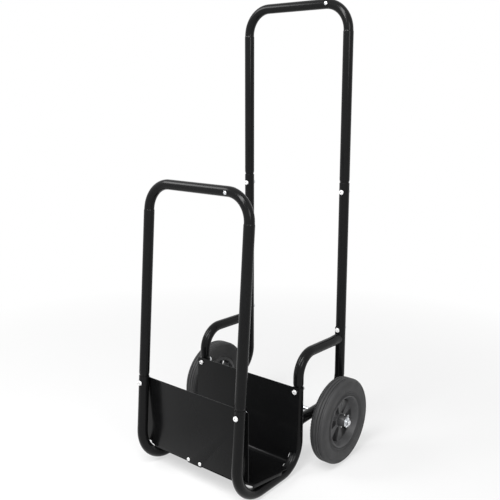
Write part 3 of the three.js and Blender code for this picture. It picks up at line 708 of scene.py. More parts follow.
# %% Coping an end
def cope(skin, end_y, centre_x, centre_y):
    """Slides the ring of points at end_y on to the upright tube at (centre_x, centre_y)."""
    toward = 1 if end_y > centre_y else -1
    for vertex in skin.data.vertices:
        if abs(vertex.co.y - end_y) < 0.5:
            aside = vertex.co.x - centre_x
            vertex.co.y = centre_y + toward * math.sqrt(COPE_R**2 - aside**2)
    return skin


def flared(total, growth):
    """Knots that press the last stretch of a tube narrower across and taller within."""
    start = total - FLARE_LENGTH
    return [(start, 1), (total, 1 / growth)], [(start, 1), (total, growth)]


# %% Rear posts
def rear_post(word, sign):
    x = sign * TRACK / 2
    end_y = RISER_Y + COPE_R
    line = bent_line([(x, POST_Y, POST_SOCKET_TOP), (x, POST_Y, POST_RUN_Z), (x, end_y, POST_RUN_Z)],
                     [POST_BEND_R])
    across, within = flared(lengths_along(line)[-1], STRUT_FLARE)
    skin = tube_skin(f"post_tube_{word}", line, ACROSS_SIDE, across, within)
    cope(skin, end_y, x, RISER_Y)
    piece = shade(give_wall(skin, WALL, LIP_ROUNDING, skin.name))
    return ready(settle(piece), "black_coat", "frame", f"rear_post_{word}")


for word, sign in SIDES:
    print(rear_post(word, sign).name)


# %% Arms, each with a tongue for its bolt
def arm_z(y):
    return ARM_CORNER_Z - math.tan(ARM_DROP) * (y - RISER_Y)


ARM_END_Z = arm_z(POST_Y)


def tongue(x):
    """A strip that hugs the front of the post, from the arm's end upwards, with a round top."""
    rows, columns, points = 12, 12, []
    foot, top = ARM_END_Z, ARM_END_Z + TONGUE_RISE
    radius = COPE_R + TONGUE_THICK
    for share in np.linspace(0, 1, rows + 1):
        for aside in np.linspace(-1, 1, columns + 1):
            height = foot + share * (top - foot - 5 * abs(aside) ** 3)
            offset = aside * TONGUE_HALF_WIDTH
            points.append((x + offset, POST_Y - math.sqrt(radius**2 - offset**2), height))
    wide = columns + 1
    faces = [(r * wide + c, r * wide + c + 1, (r + 1) * wide + c + 1, (r + 1) * wide + c)
             for r in range(rows) for c in range(columns)]
    strip = from_points("tongue", points, faces)
    strip.data.materials.append(BLACK)
    return give_wall(strip, TONGUE_THICK, 0.5, "tongue")


def rear_arm(word, sign):
    x = sign * TRACK / 2
    end_y = POST_Y - COPE_R
    line = bent_line([(x, RISER_Y, RISER_TOP - PLUG_DEPTH), (x, RISER_Y, ARM_CORNER_Z),
                      (x, end_y, arm_z(end_y))], [ARM_BEND_R])
    across, within = flared(lengths_along(line)[-1], ARM_FLARE)
    plug = [(0, NECK_SHARE), (PLUG_DEPTH, NECK_SHARE), (PLUG_DEPTH + SHOULDER, 1)]
    skin = tube_skin(f"arm_tube_{word}", line, ACROSS_SIDE, plug + across, plug + within)
    cope(skin, end_y, x, POST_Y)
    arm = give_wall(skin, WALL, LIP_ROUNDING, skin.name)
    piece = shade(joined(f"arm_{word}", [arm, tongue(x)]))
    return ready(settle(piece), "black_coat", "frame", f"rear_arm_{word}")


for word, sign in SIDES:
    print(rear_arm(word, sign).name)

# %% [markdown]
# ## The front panel
#
# A flat sheet stands behind the front sockets. Its outline has a lug in the middle of the lower
# edge and notched lower corners. One flat face is enough: Solidify gives it the thickness of the
# sheet, and Bevel rounds the edges as the coating does, so that they catch a thin line of light.

# %% Rounding the corners of an outline
def rounded(outline, radius, steps=4):
    """The same outline with every corner rounded, as far as its edges leave room."""
    points = []
    corners = [np.array(point, float) for point in outline]
    for i, corner in enumerate(corners):
        before, after = corners[i - 1] - corner, corners[(i + 1) % len(corners)] - corner
        reach = min(radius, np.linalg.norm(before) / 2, np.linalg.norm(after) / 2)
        start, end = corner + unit(before) * reach, corner + unit(after) * reach
        for t in np.linspace(0, 1, steps + 1):
            points.append((1 - t) ** 2 * start + 2 * t * (1 - t) * corner + t**2 * end)
    return points


# %% Front panel
PANEL_Y = lean_y(PANEL_TOP) + TUBE_R / math.cos(FRONT_LEAN) + GAP


def front_sheet():
    notch = PANEL_BOTTOM + PANEL_CORNER
    right = [(LUG_HALF, PANEL_BOTTOM - LUG_DROP), (LUG_HALF, PANEL_BOTTOM), (WAIST_HALF, PANEL_BOTTOM),
             (WAIST_HALF + PANEL_CORNER, notch), (CRADLE_HALF, notch), (CRADLE_HALF, PANEL_TOP)]
    outline = rounded(right + [(-x, z) for x, z in reversed(right)], 3)
    sheet = from_points("front_sheet", [(x, PANEL_Y, z) for x, z in outline],
                        [tuple(range(len(outline)))])
    sheet.data.materials.append(BLACK)
    if sheet.data.polygons[0].normal.y > 0:
        sheet.data.flip_normals()
    piece = shade(give_wall(sheet, SHEET, SHEET_ROUNDING, "front_sheet", corner=60), 25)
    return ready(settle(piece), "black_coat", "frame", "front_panel")


print(front_sheet().name, "stands at", round((PANEL_Y + Y_SHIFT) * MM, 4), "m")

# %% [markdown]
# ## The floor and the back
#
# Floor and back are one sheet with a radiused fold, which shows as a pale strip at the bottom of
# the back. The sheet is drawn as a grid: each row is one step along its profile and each row has
# its own width, because the corners are cut back round the tube bends. The sides of the floor turn
# down in narrow lips, and a small flange turns up in the middle of the front edge.

# %% The profile of the folded sheet
FLOOR_FRONT_Y = PANEL_Y + SHEET + GAP
BACK_FACE_Y = RISER_Y - TUBE_R - GAP
FOLD_STEPS, ROW_STEP = 10, 1.5


def floor_z(y):
    return FLOOR_FRONT_Z - FLOOR_FALL * (y - FLOOR_FRONT_Y)


def fold_profile(stations):
    """Rows from the floor's front edge to the top of the back, as (y, z)."""
    lean, fall = math.tan(BACK_LEAN), math.atan(FLOOR_FALL)
    sweep = math.pi / 2 + fall - BACK_LEAN
    top_y = BACK_FACE_Y - SHEET
    meet_z = floor_z(top_y - lean * BACK_TOP) / (1 + FLOOR_FALL * lean)
    meet_y = top_y - lean * (BACK_TOP - meet_z)
    reach = FOLD_R * math.tan(sweep / 2)
    start = (meet_y - reach * math.cos(fall), meet_z + reach * math.sin(fall))
    centre = (start[0] + FOLD_R * math.sin(fall), start[1] + FOLD_R * math.cos(fall))
    rows = [(y, floor_z(y)) for y in stations if y < start[0] - 0.5]
    for angle in np.linspace(-fall, sweep - fall, FOLD_STEPS + 1):
        rows.append((centre[0] + FOLD_R * math.sin(angle), centre[1] - FOLD_R * math.cos(angle)))
    fold_end = math.ceil(rows[-1][1] + 1)
    for z in list(np.arange(fold_end, NOTCH_TOP, ROW_STEP)) + [NOTCH_TOP, BACK_TOP]:
        rows.append((top_y - lean * (BACK_TOP - z), z))
    return rows


# %% How wide the sheet is at each row
BEND_START = RISER_Y - RISER_BEND_R
NOTCH_FROM, NOTCH_TOP, NOTCH_ROOM = BEND_START + 6, 54, 0.6
LIP_BEND = 2.0
LIP_FROM, LIP_TO, LIP_SLANT = FLOOR_FRONT_Y + 12.3, BEND_START - 13, 3
CORNER_END = FLOOR_FRONT_Y + 7.2


def half_width(y, z):
    """Half the sheet's width at a row. The notch follows the tube's bend with a little room."""
    on_back = z > floor_z(y) + FOLD_R
    half = CRADLE_HALF if on_back else CRADLE_HALF - LIP_BEND
    half = min(half, float(np.interp(y, [FLOOR_FRONT_Y, CORNER_END, LIP_FROM],
                                     [WAIST_HALF, WAIST_HALF + 6, CRADLE_HALF])))
    if y < NOTCH_FROM or z > NOTCH_TOP - 0.1:
        return half
    from_centre = math.hypot(y - BEND_START, z - RUN_Z - RISER_BEND_R)
    beside = max(0, abs(from_centre + SHEET / 2 - RISER_BEND_R) - SHEET / 2)
    room = (TUBE_R + NOTCH_ROOM) ** 2 - beside ** 2
    return half if room <= 0 else TRACK / 2 - math.sqrt(room)


# %% Floor and back
def lip_strip(sign):
    """The lip along one side of the floor: a quarter turn down, and then a short straight drop."""
    ys = np.linspace(LIP_FROM, LIP_TO, 9)
    turn = [(CRADLE_HALF - LIP_BEND * (1 - math.sin(a)), LIP_BEND * (1 - math.cos(a)))
            for a in np.linspace(0, math.pi / 2, 6)]
    turn.append((CRADLE_HALF, LIP + SHEET))
    points, count = [], len(turn)
    for y in ys:
        for x, drop in turn:
            slant = LIP_SLANT * drop / (LIP + SHEET)
            pull = slant if y == ys[0] else -slant if y == ys[-1] else 0
            points.append((sign * x, y + pull, floor_z(y) - drop))
    faces = [(i * count + k, i * count + k + 1, (i + 1) * count + k + 1, (i + 1) * count + k)
             for i in range(len(ys) - 1) for k in range(count - 1)]
    return points, [face if sign > 0 else face[::-1] for face in faces]


def flange_strip():
    """The flange in the middle of the front edge, turned up from the floor."""
    inner = FLOOR_FRONT_Y + SHEET
    turn = [(inner + LIP_BEND * (1 - math.sin(a)), LIP_BEND * (1 - math.cos(a)))
            for a in np.linspace(0, math.pi / 2, 6)]
    base = floor_z(inner + LIP_BEND)
    rows = [(y, base + rise) for y, rise in turn] + [(inner, FLANGE_TOP)]
    points = [(x, y, z) for y, z in rows for x in (-LUG_HALF, LUG_HALF)]
    return points, [(2 * i, 2 * i + 1, 2 * i + 3, 2 * i + 2) for i in range(len(rows) - 1)]


def floor_and_back():
    stations = [FLOOR_FRONT_Y, FLOOR_FRONT_Y + SHEET + LIP_BEND, CORNER_END]
    stations += list(np.linspace(LIP_FROM, LIP_TO, 9))
    stations += list(np.arange(NOTCH_FROM, RISER_Y, ROW_STEP))
    rows = fold_profile(stations)
    points, faces = [], []
    for y, z in rows:
        half = half_width(y, z)
        points += [(-half, y, z), (-LUG_HALF, y, z), (LUG_HALF, y, z), (half, y, z)]
    for row in range(len(rows) - 1):
        for column in range(3):
            if row or column != 1:
                a = row * 4 + column
                faces.append((a, a + 1, a + 5, a + 4))
    for more_points, more_faces in (lip_strip(-1), lip_strip(1), flange_strip()):
        start = len(points)
        points += more_points
        faces += [tuple(index + start for index in face) for face in more_faces]
    sheet = weld(from_points("folded_sheet", points, faces), 0.02)
    up = max(sheet.data.polygons, key=lambda face: face.area * (abs(face.normal.z) > 0.9))
    if up.normal.z < 0:
        sheet.data.flip_normals()
    sheet.data.materials.append(BLACK)
    piece = shade(give_wall(sheet, SHEET, SHEET_ROUNDING, "folded_sheet", corner=60), 25)
    return ready(settle(piece), "black_coat", "frame", "floor_back_panel")


folded = floor_and_back()
print(folded.name, len(folded.data.polygons), "faces")


# %% [markdown]
# ## Weld beads
#
# The strut is welded round its coped end, and the axle is tacked under both struts. A bead follows
# its seam with small regular ripples. The tree sweeps a circle along the seam and swells its
# radius with a sine of the distance along it, which is how the ripples of a hand weld read.

# %% The tree that lays a bead
def bead_tree():
    made = Tree("weld bead along a seam", {
        "Radius": "Float", "Ripple length": "Float", "Ripple depth": "Float", "Coat": "Material"})
    given = made.given
    line = made.node("GeometryNodeMeshToCurve", Mesh=given["Geometry"])["Curve"]
    fine = made.node("GeometryNodeResampleCurve", Curve=line, Count=150)["Curve"]
    along = made.node("GeometryNodeSplineParameter")["Length"]
    turns = made.node("ShaderNodeMath", {"operation": "DIVIDE"}, _0=along, _1=given["Ripple length"])
    phase = made.node("ShaderNodeMath", {"operation": "MULTIPLY"}, _0=turns[0], _1=2 * math.pi)
    wave = made.node("ShaderNodeMath", {"operation": "SINE"}, _0=phase[0])
    swell = made.node("ShaderNodeMath", {"operation": "MULTIPLY_ADD"}, _0=wave[0],
                      _1=given["Ripple depth"], _2=given["Radius"])
    circle = made.node("GeometryNodeCurvePrimitiveCircle", Radius=1.0, Resolution=10)["Curve"]
    sized = made.node("GeometryNodeSetCurveRadius", Curve=fine, Radius=swell[0])["Curve"]
    bead = made.node("GeometryNodeCurveToMesh", Curve=sized, Profile_Curve=circle, Fill_Caps=True)
    return made.finish(bead["Mesh"], given["Coat"])


BEAD_TREE = bead_tree()


def bead(name, seam, closed, radius):
    edges = [(i, i + 1) for i in range(len(seam) - 1)] + ([(len(seam) - 1, 0)] if closed else [])
    carrier = from_points(name, seam, edges=edges)
    return weld(run(BEAD_TREE, carrier, name, Radius=radius, Ripple_length=2.4,
                    Ripple_depth=0.14 * radius, Coat=BLACK))


print("tree:", BEAD_TREE.name)


# %% Beads round the struts and over the axle
def strut_seam(x):
    seam = []
    for angle in np.linspace(0, 2 * math.pi, 49)[:-1]:
        aside = TUBE_R / STRUT_FLARE * math.cos(angle)
        height = TUBE_R * STRUT_FLARE * math.sin(angle)
        seam.append((x + aside, RISER_Y + math.sqrt(COPE_R**2 - aside**2) + 0.4, POST_RUN_Z + height))
    return seam


def axle_seam(x, before):
    reach = np.linspace(-7, 7, 15)
    y = AXLE_Y + before * (AXLE_R - 1.2)
    return [(x + offset, y, WHEEL_R + AXLE_R + 0.1 - 0.35 * abs(before)) for offset in reach]


beads = []
for word, sign in SIDES:
    x = sign * TRACK / 2
    beads.append(bead("strut bead", strut_seam(x), True, 1.9))
    beads += [bead("axle bead", axle_seam(x, before), False, 1.7) for before in (-1, 1)]
weld_beads = settle(shade(joined("weld_beads", beads), 60))
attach(weld_beads, "frame")
print(weld_beads.name, len(weld_beads.data.polygons), "faces")

# %% [markdown]
# ## Tyres
#
# A tyre is a body of revolution, so its section is drawn once, as pairs of distance along the axle
# and radius, and turned round the axle. The section carries what runs all the way round: rounded
# tread grooves, fine rings on the sidewall and the double ring at the seat. The slanting blocks of
# the inner shoulder do not run round, so they are added as instances.

# %% Turning a section round the axle
def turned(name, section, segments, closed=True):
    """A body turned round the X axis from (x, radius) pairs."""
    count, points, faces = len(section), [], []
    for angle in np.linspace(0, 2 * math.pi, segments, endpoint=False):
        points += [(x, r * math.cos(angle), r * math.sin(angle)) for x, r in section]
    last = count if closed else count - 1
    for i in range(segments):
        for k in range(last):
            a, b = i * count, ((i + 1) % segments) * count
            faces.append((a + k, a + (k + 1) % count, b + (k + 1) % count, b + k))
    return weld(from_points(name, points, faces))


# %% The section of a tyre
GROOVE_DEPTH = 2.2
GROOVES = (-7.2, 0, 7.2)
SHOULDER_FLOOR = 97.6


def ridge(x, radius, height):
    """A small round ridge on the sidewall, drawn from outside in."""
    return [(x, radius + 0.9), (x + 0.7 * height, radius + 0.6), (x + height, radius),
            (x + 0.7 * height, radius - 0.6), (x, radius - 0.9)]


def tyre_section():
    tread = [(-18.6, 90.5), (-17.6, 93.6), (-15.4, 96.2), (-12.8, SHOULDER_FLOOR), (-10.9, 98.2),
             (-10.4, 99.7)]
    for x in GROOVES:
        tread += [(x - 1.3, 99.9), (x - 1.0, 99.4), (x - 0.7, 98.2), (x, 100 - GROOVE_DEPTH),
                  (x + 0.7, 98.2), (x + 1.0, 99.4), (x + 1.3, 99.9)]
    outer = [(10.6, 99.7), (11.1, 98.9), (11.6, 98.9), (12.1, 99.2), (14.2, 98.1), (16.2, 96.0)]
    outer += ridge(17.2, 93.8, 0.4) + ridge(18.1, 90.8, 0.35)
    outer += [(18.7, 88), (18.7, 82), (18.2, 76)]
    outer += ridge(17.4, 69.6, 0.9) + ridge(16.7, 65.6, 1.0) + [(16.0, 63.6), (15.2, TYRE_SEAT_R)]
    inner = [(-15.2, TYRE_SEAT_R), (-16, 63.6), (-17.4, 70), (-18.2, 76), (-18.7, 82), (-18.8, 88)]
    return inner + tread + outer


section = tyre_section()
print("tyre section:", len(section), "points")


# %% [markdown]
# ## Instances round an axle
#
# Shoulder blocks and spokes are both one shape repeated round a wheel, so one tree serves both. It
# makes a ring of points, sets an instance of the given shape on each, turned to its own angle,
# and joins the copies to the body that comes in.

# %% The tree that repeats a shape round the axle
def round_tree():
    made = Tree("shape repeated round an axle", {
        "Shape": "Object", "Count": "Int", "Start angle": "Float", "Coat": "Material"})
    given = made.given
    points = made.node("GeometryNodePoints", Count=given["Count"])["Points"]
    index = made.node("GeometryNodeInputIndex")["Index"]
    share = made.node("ShaderNodeMath", {"operation": "DIVIDE"}, _0=index, _1=given["Count"])
    angle = made.node("ShaderNodeMath", {"operation": "MULTIPLY_ADD"}, _0=share[0], _1=2 * math.pi,
                      _2=given["Start angle"])
    turn = made.node("ShaderNodeCombineXYZ", X=angle[0])["Vector"]
    shape = made.node("GeometryNodeObjectInfo", Object=given["Shape"])["Geometry"]
    copies = made.node("GeometryNodeInstanceOnPoints", Points=points, Instance=shape, Rotation=turn)
    both = made.node("GeometryNodeJoinGeometry")
    made.tree.links.new(copies["Instances"], made.tree.nodes[-1].inputs["Geometry"])
    made.tree.links.new(given["Geometry"], made.tree.nodes[-1].inputs["Geometry"])
    return made.finish(both["Geometry"], given["Coat"])


ROUND_TREE = round_tree()


def repeated_round(body, shape, name, count, start_angle, coat):
    made = run(ROUND_TREE, body, name, Shape=shape, Count=count, Start_angle=start_angle, Coat=coat)
    bpy.data.objects.remove(shape)
    return made


print("tree:", ROUND_TREE.name)


# %% Shoulder blocks and the finished tyre
SHOULDER_BLOCKS = 84


def shoulder_block():
    """One slanting block of the inner shoulder, at the top of the wheel."""
    points, half, slant = [], 2.35, 4.0
    sections = ((-17.9, 92.3, 94.3), (-15.4, 95.2, 97.6), (-12.6, 96.8, 99.2), (-10.5, 97.5, 99.8))
    for x, low, high in sections:
        shift = slant * (x + 14.2) / 7.4
        for radius, width in ((low, half), (high, half - 0.45)):
            for side in (-1, 1):
                points.append((x, shift + side * width, radius))
    faces = [(0, 1, 3, 2), (12, 14, 15, 13)]
    for row in range(3):
        a = row * 4
        faces += [(a, a + 2, a + 6, a + 4), (a + 1, a + 5, a + 7, a + 3),
                  (a + 2, a + 3, a + 7, a + 6), (a, a + 4, a + 5, a + 1)]
    return weld(from_points("shoulder block", points, faces))


def wheel_place(sign):
    turn = Matrix() if sign > 0 else Matrix.Rotation(math.pi, 4, "Z")
    return Matrix.Translation((sign * WHEEL_X, AXLE_Y, WHEEL_R)) @ turn


def tyre(word, sign):
    body = turned("tyre", section, 160)
    whole = repeated_round(body, shoulder_block(), f"rubber_tyre_{word}", SHOULDER_BLOCKS, 0, RUBBER)
    piece = settle(shade(whole, 30), wheel_place(sign))
    return ready(piece, "tyre_rubber", f"wheel_{word}", f"tyre_{word}")


for word, sign in SIDES:
    made = tyre(word, sign)
    print(made.name, len(made.data.polygons), "faces")

# %% [markdown]
# ## Rims
#
# The rim is moulded in one: a drum that holds the tyre, a deep dish with six paddle-shaped spokes,
# and a hub. The drum and the hub are turned. One paddle is modelled as moulders make them, with a
# shallow recess in its face and a hollow back between deep side walls, and then repeated round the
# hub, which flares out behind them. The side walls keep the openings dark in an oblique view.

# %% One paddle spoke
SPOKES = 6
SPOKE_HALF_ANGLE = math.radians(15)


def spoke():
    """A paddle standing upright from the hub, with a shallow recess in front and deep side walls."""
    inner, outer, face_x, back_x = 14.5, 53.0, 2.4, -15.2
    rise = np.linspace(inner, outer, 5)
    right = [(math.tan(SPOKE_HALF_ANGLE * (0.98 if r > 20 else 1.2)) * r * 0.98, r) for r in rise]
    outline = right + [(-y, z) for y, z in reversed(right)]
    work = bmesh.new()
    face = work.faces.new([work.verts.new((face_x, y, z)) for y, z in outline])
    bmesh.ops.recalc_face_normals(work, faces=[face])
    if face.normal.x < 0:
        face.normal_flip()
    back = bmesh.ops.extrude_face_region(work, geom=[face])
    verts = [item for item in back["geom"] if isinstance(item, bmesh.types.BMVert)]
    bmesh.ops.translate(work, verts=verts, vec=(back_x - face_x, 0, 0))
    bmesh.ops.recalc_face_normals(work, faces=work.faces)
    front = max(work.faces, key=lambda f: f.calc_center_median().x)
    bmesh.ops.inset_region(work, faces=[front], thickness=2.2, depth=0)
    bmesh.ops.inset_region(work, faces=[front], thickness=0.7, depth=-0.9)
    rear = min(work.faces, key=lambda f: f.calc_center_median().x)
    bmesh.ops.inset_region(work, faces=[rear], thickness=1.8, depth=0)
    bmesh.ops.inset_region(work, faces=[rear], thickness=0.4, depth=-8.0)
    mesh = bpy.data.meshes.new("spoke")
    work.to_mesh(mesh)
    work.free()
    made = new_object("spoke", mesh)
    soften = made.modifiers.new("rounding", "BEVEL")
    soften.width, soften.segments, soften.limit_method = 0.7, 2, "ANGLE"
    soften.angle_limit = math.radians(40)
    return baked(made, "spoke")


# %% Drum, dish and hub
def rim(word, sign):
    seat = TYRE_SEAT_R - GAP
    drum = turned("drum", [(-16, 54.4), (-15.4, 53.8), (-4.0, 52.6), (-3.4, 50.6), (1.4, 50.6),
                           (2.6, 51.6), (13.6, 56.0), (15.0, 57.2), (16.2, 58.2), (16.6, 59.4),
                           (16.0, 60.8), (14.6, seat), (-15.0, seat), (-16, seat - 1)], 96)
    hub = turned("hub", [(-19, AXLE_BORE_R), (-19, 13.0), (-18.2, 14.0), (-14.6, 24.0), (-13.4, 24.6),
                         (-6.0, 19.6), (-3.0, 18.0), (1.6, 17.2), (3.0, 14.4), (17.6, 11.6),
                         (18.6, 11.0), (19, 10.2), (19, AXLE_BORE_R)], 64)
    body = joined("drum and hub", [drum, hub])
    whole = repeated_round(body, spoke(), f"spoked_rim_{word}", SPOKES, 0, PLASTIC)
    piece = settle(shade(whole, 30), wheel_place(sign))
    return ready(piece, "wheel_plastic", f"wheel_{word}", f"wheel_rim_{word}")


for word, sign in SIDES:
    made = rim(word, sign)
    print(made.name, len(made.data.polygons), "faces")

# %% [markdown]
# ## Axle, washers and split pins
#
# The axle is a drawn rod with a chamfer at each end and a collar inside each wheel. A washer stands
# on each side of the hub, and a split pin through the rod keeps the wheel on: its two legs are
# pushed through a hole and the tips are bent apart so that it can't drop out.

# %% Axle and washers
HUB_OUT = WHEEL_X + HUB_WIDTH / 2
PIN_X = HUB_OUT + GAP + WASHER_THICK + GAP + PIN_R
AXLE_END = PIN_X + 5


def axle_rod():
    collar = WHEEL_X - HUB_WIDTH / 2 - 2 * GAP - WASHER_THICK
    right = [(collar - 4, AXLE_R), (collar - 4, 8.5), (collar - 3.5, 9), (collar - 0.5, 9),
             (collar, 8.5), (collar, AXLE_R), (AXLE_END - 1, AXLE_R), (AXLE_END - 0.3, 5.4),
             (AXLE_END, 4.6), (AXLE_END, 0)]
    section = [(-x, r) for x, r in reversed(right)] + right
    rod = turned("axle_rod", section, 48, closed=False)
    rod.data.materials.append(ZINC)
    piece = settle(shade(rod), Matrix.Translation((0, AXLE_Y, WHEEL_R)))
    return ready(piece, "bright_zinc", "frame", "axle")


def washer(x):
    half, hole = WASHER_THICK / 2, AXLE_BORE_R
    made = turned("washer", [(-half, hole + 0.2), (-half, WASHER_R - 0.4), (-half + 0.4, WASHER_R),
                             (half - 0.4, WASHER_R), (half, WASHER_R - 0.4), (half, hole + 0.2),
                             (half - 0.2, hole), (-half + 0.2, hole)], 48)
    made.data.transform(Matrix.Translation((x, AXLE_Y, WHEEL_R)))
    return made


print(axle_rod().name)
offset = HUB_WIDTH / 2 + GAP + WASHER_THICK / 2
washer_nodes = [f"{where}_washer_{word}" for where in ("inner", "outer") for word, sign in SIDES]
discs = [washer(sign * (WHEEL_X + way * offset)) for sign in (-1, 1) for way in (-1, 1)]
for disc in discs:
    disc.data.materials.append(ZINC)
washers = ready(settle(shade(joined("axle_washers", discs))), "bright_zinc", "frame", *washer_nodes)
print(washers.name, "stand for", len(washer_nodes), "solids")


# %% Split pins
def split_pin(x):
    """A wire pin: an eye above the rod, two legs through it, and tips bent apart below it."""
    wire, eye = 0.75, PIN_EYE_R
    top, foot = PIN_LENGTH / 2 + 0.5, -PIN_LENGTH / 2
    legs = []
    for way in (-1, 1):
        tip = 5.0 if way < 0 else 3.0
        line = [(0, way * (wire + tip), foot + 1.2), (0, way * (wire + tip * 0.55), foot + 2.2),
                (0, way * (wire + 0.6), foot + 4.2), (0, way * wire, foot + 5.8),
                (0, way * wire, top - 3), (0, way * (wire + 0.7), top - 1.5),
                (0, way * 2.9, top + 1.2), (0, way * eye * 0.85, top + 3)]
        legs.append(line)
    crown = [(0, eye * 0.85 * math.cos(a), top + 3 + eye * 0.7 * math.sin(a))
             for a in np.linspace(math.pi, 0, 9)][1:-1]
    centre = np.array(legs[0] + crown + legs[1][::-1]) + (x, AXLE_Y, WHEEL_R)
    pin = tube_skin("pin", centre, ACROSS_SIDE, radius=wire, coat=ZINC)
    work = bmesh.new()
    work.from_mesh(pin.data)
    bmesh.ops.holes_fill(work, edges=[edge for edge in work.edges if edge.is_boundary])
    work.to_mesh(pin.data)
    work.free()
    return pin


pins = [split_pin(sign * PIN_X) for sign in (-1, 1)]
pin_pair = settle(shade(joined("split_pins", pins), 60))
ready(pin_pair, "bright_zinc", "frame", "split_pin_left", "split_pin_right")
print(pin_pair.name)

# %% [markdown]
# ## Bolts, screws and nuts
#
# The cart is bolted together with round-headed bolts that have a socket in the head. The head is a
# turned dome with a six-sided hole cut by a Boolean, and it is set on every hole by one tree that
# reads the points of a small mesh. The places come from the frame itself: the low end of each
# solid's box is the top of its head.

# %% The tree that sets a fastener on each point
def fastener_tree():
    made = Tree("fastener on every hole", {
        "Shape": "Object", "Tilt": "Float", "Coat": "Material"})
    given = made.given
    points = made.node("GeometryNodeMeshToPoints", Mesh=given["Geometry"])["Points"]
    spin = made.attribute("spin")
    turn = made.node("ShaderNodeCombineXYZ", X=given["Tilt"], Y=spin)["Vector"]
    shape = made.node("GeometryNodeObjectInfo", Object=given["Shape"])["Geometry"]
    copies = made.node("GeometryNodeInstanceOnPoints", Points=points, Instance=shape, Rotation=turn)
    return made.finish(copies["Instances"], given["Coat"])


FASTENER_TREE = fastener_tree()
chance = np.random.default_rng(7)


def on_points(name, shape, places, tilt=0.0):
    """The shape set on each place, each turned by its own amount, as hands leave them."""
    carrier = from_points(name, places)
    spin = carrier.data.attributes.new("spin", "FLOAT", "POINT")
    spin.data.foreach_set("value", chance.uniform(0, 2 * math.pi, len(places)).astype(np.float32))
    return run(FASTENER_TREE, carrier, name, Shape=shape, Tilt=tilt, Coat=ZINC)


print("tree:", FASTENER_TREE.name)


# %% Six-sided holes and sides
ALONG_Y = Matrix.Rotation(math.pi / 2, 4, "Z")


def six_sided(name, corner, low_x, high_x):
    """A six-sided prism along X, with its corners at this radius."""
    ring = [(corner * math.cos(a), corner * math.sin(a)) for a in np.arange(6) * math.pi / 3]
    caps = [tuple(range(6)), tuple(range(11, 5, -1))]
    sides = [(i, 6 + i, 6 + (i + 1) % 6, (i + 1) % 6) for i in range(6)]
    return weld(from_points(name, [(x, y, z) for x in (low_x, high_x) for y, z in ring], caps + sides))


def cut(blank, tool, operation, name):
    """The blank after a Boolean with the tool, turned to lie along Y. The tool is used up."""
    knife = blank.modifiers.new("cut", "BOOLEAN")
    knife.object, knife.operation, knife.solver = tool, operation, "EXACT"
    made = baked(blank, name)
    bpy.data.objects.remove(tool)
    made.data.transform(ALONG_Y)
    return made


# %% A domed head with a socket, its shank and a nut

def domed_head(radius, height, socket):
    """A dome pointing along -Y, its underside at y = 0, with a six-sided socket."""
    dome = [(0, 0.4), (0, radius - 0.3), (-0.3, radius), (-height * 0.35, radius * 0.99)]
    dome += [(-height * (0.35 + 0.65 * math.sin(a)), radius * (0.42 + 0.57 * math.cos(a)))
             for a in np.linspace(0.25, math.pi / 2, 6)] + [(-height, 0.4)]
    hole = six_sided("socket", socket, -height - 1, -height * 0.35)
    return cut(turned("head", dome, 32), hole, "DIFFERENCE", "head")


def threaded_end(radius, length):
    """The last stretch of a bolt, with rings for its thread, its tip at y = 0."""
    section = [(-length, 0)]
    for x in np.arange(-length, -0.8, 1.0):
        section += [(x, radius - 0.45), (x + 0.5, radius)]
    section += [(-0.6, radius - 0.45), (0, radius - 0.9), (0, 0)]
    made = turned("thread", section, 20, closed=False)
    made.data.transform(ALONG_Y)
    return made


def hex_nut(flats, thickness, hole):
    """A nut from y = 0 to its thickness, its corners turned off on both faces."""
    corner = flats / math.sqrt(3)
    section = [(0, hole), (0, flats * 0.47), (0.9, corner), (thickness - 0.9, corner),
               (thickness, flats * 0.47), (thickness, hole)]
    return cut(turned("nut", section, 48), six_sided("flats", corner, -1, thickness + 1),
               "INTERSECT", "nut")


# %% Where the fasteners sit
def ends(node):
    """The two ends of a solid along Y, on its middle line, in drawing millimetres."""
    low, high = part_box(node)
    x, z = (low.x + high.x) / 2 / MM, (low.z + high.z) / 2 / MM
    return (x, low.y / MM - Y_SHIFT, z), (x, high.y / MM - Y_SHIFT, z)


def moved(place, along):
    return (place[0], place[1] + along, place[2])


BOLTS = [f"{name}_bolt_{word}" for name in ("front", "back", "handle", "arm") for word, sign in SIDES]
NUTS = [name.replace("_bolt_", "_nut_") for name in BOLTS]
SCREWS = [f"panel_screw_{word}" for word, sign in SIDES]
SCREW_NUTS = [f"panel_nut_{word}" for word, sign in SIDES]
BOLT_HEAD, SCREW_HEAD = (5.6, 3.6), (4.2, 2.6)
print(len(BOLTS), "bolts,", len(SCREWS), "panel screws")


# %% Bolts and nuts
def bolt_set(name, nodes, head_size, socket, radius):
    head = domed_head(*head_size, socket)
    seats = [moved(ends(node)[0], head_size[1]) for node in nodes]
    parts = [on_points("heads", head, seats)]
    bpy.data.objects.remove(head)
    for node in nodes:
        near, far = ends(node)
        length = far[1] - near[1] - head_size[1]
        shank = threaded_end(radius, length)
        parts.append(on_points("shank", shank, [far]))
        bpy.data.objects.remove(shank)
    return ready(settle(shade(joined(name, parts), 30)), "bright_zinc", "frame", *nodes)


def nut_set(name, nodes, flats, thickness, hole):
    nut = hex_nut(flats, thickness, hole)
    made = on_points(name, nut, [ends(node)[0] for node in nodes])
    bpy.data.objects.remove(nut)
    return ready(settle(shade(made, 30)), "bright_zinc", "frame", *nodes)


print(bolt_set("frame_bolts", BOLTS, BOLT_HEAD, 2.4, 3.0).name)
print(bolt_set("panel_screws", SCREWS, SCREW_HEAD, 1.7, 2.5).name)
print(nut_set("frame_nuts", NUTS, 10, 5, 3.0).name)
print(nut_set("panel_nuts", SCREW_NUTS, 8, 4, 2.5).name)

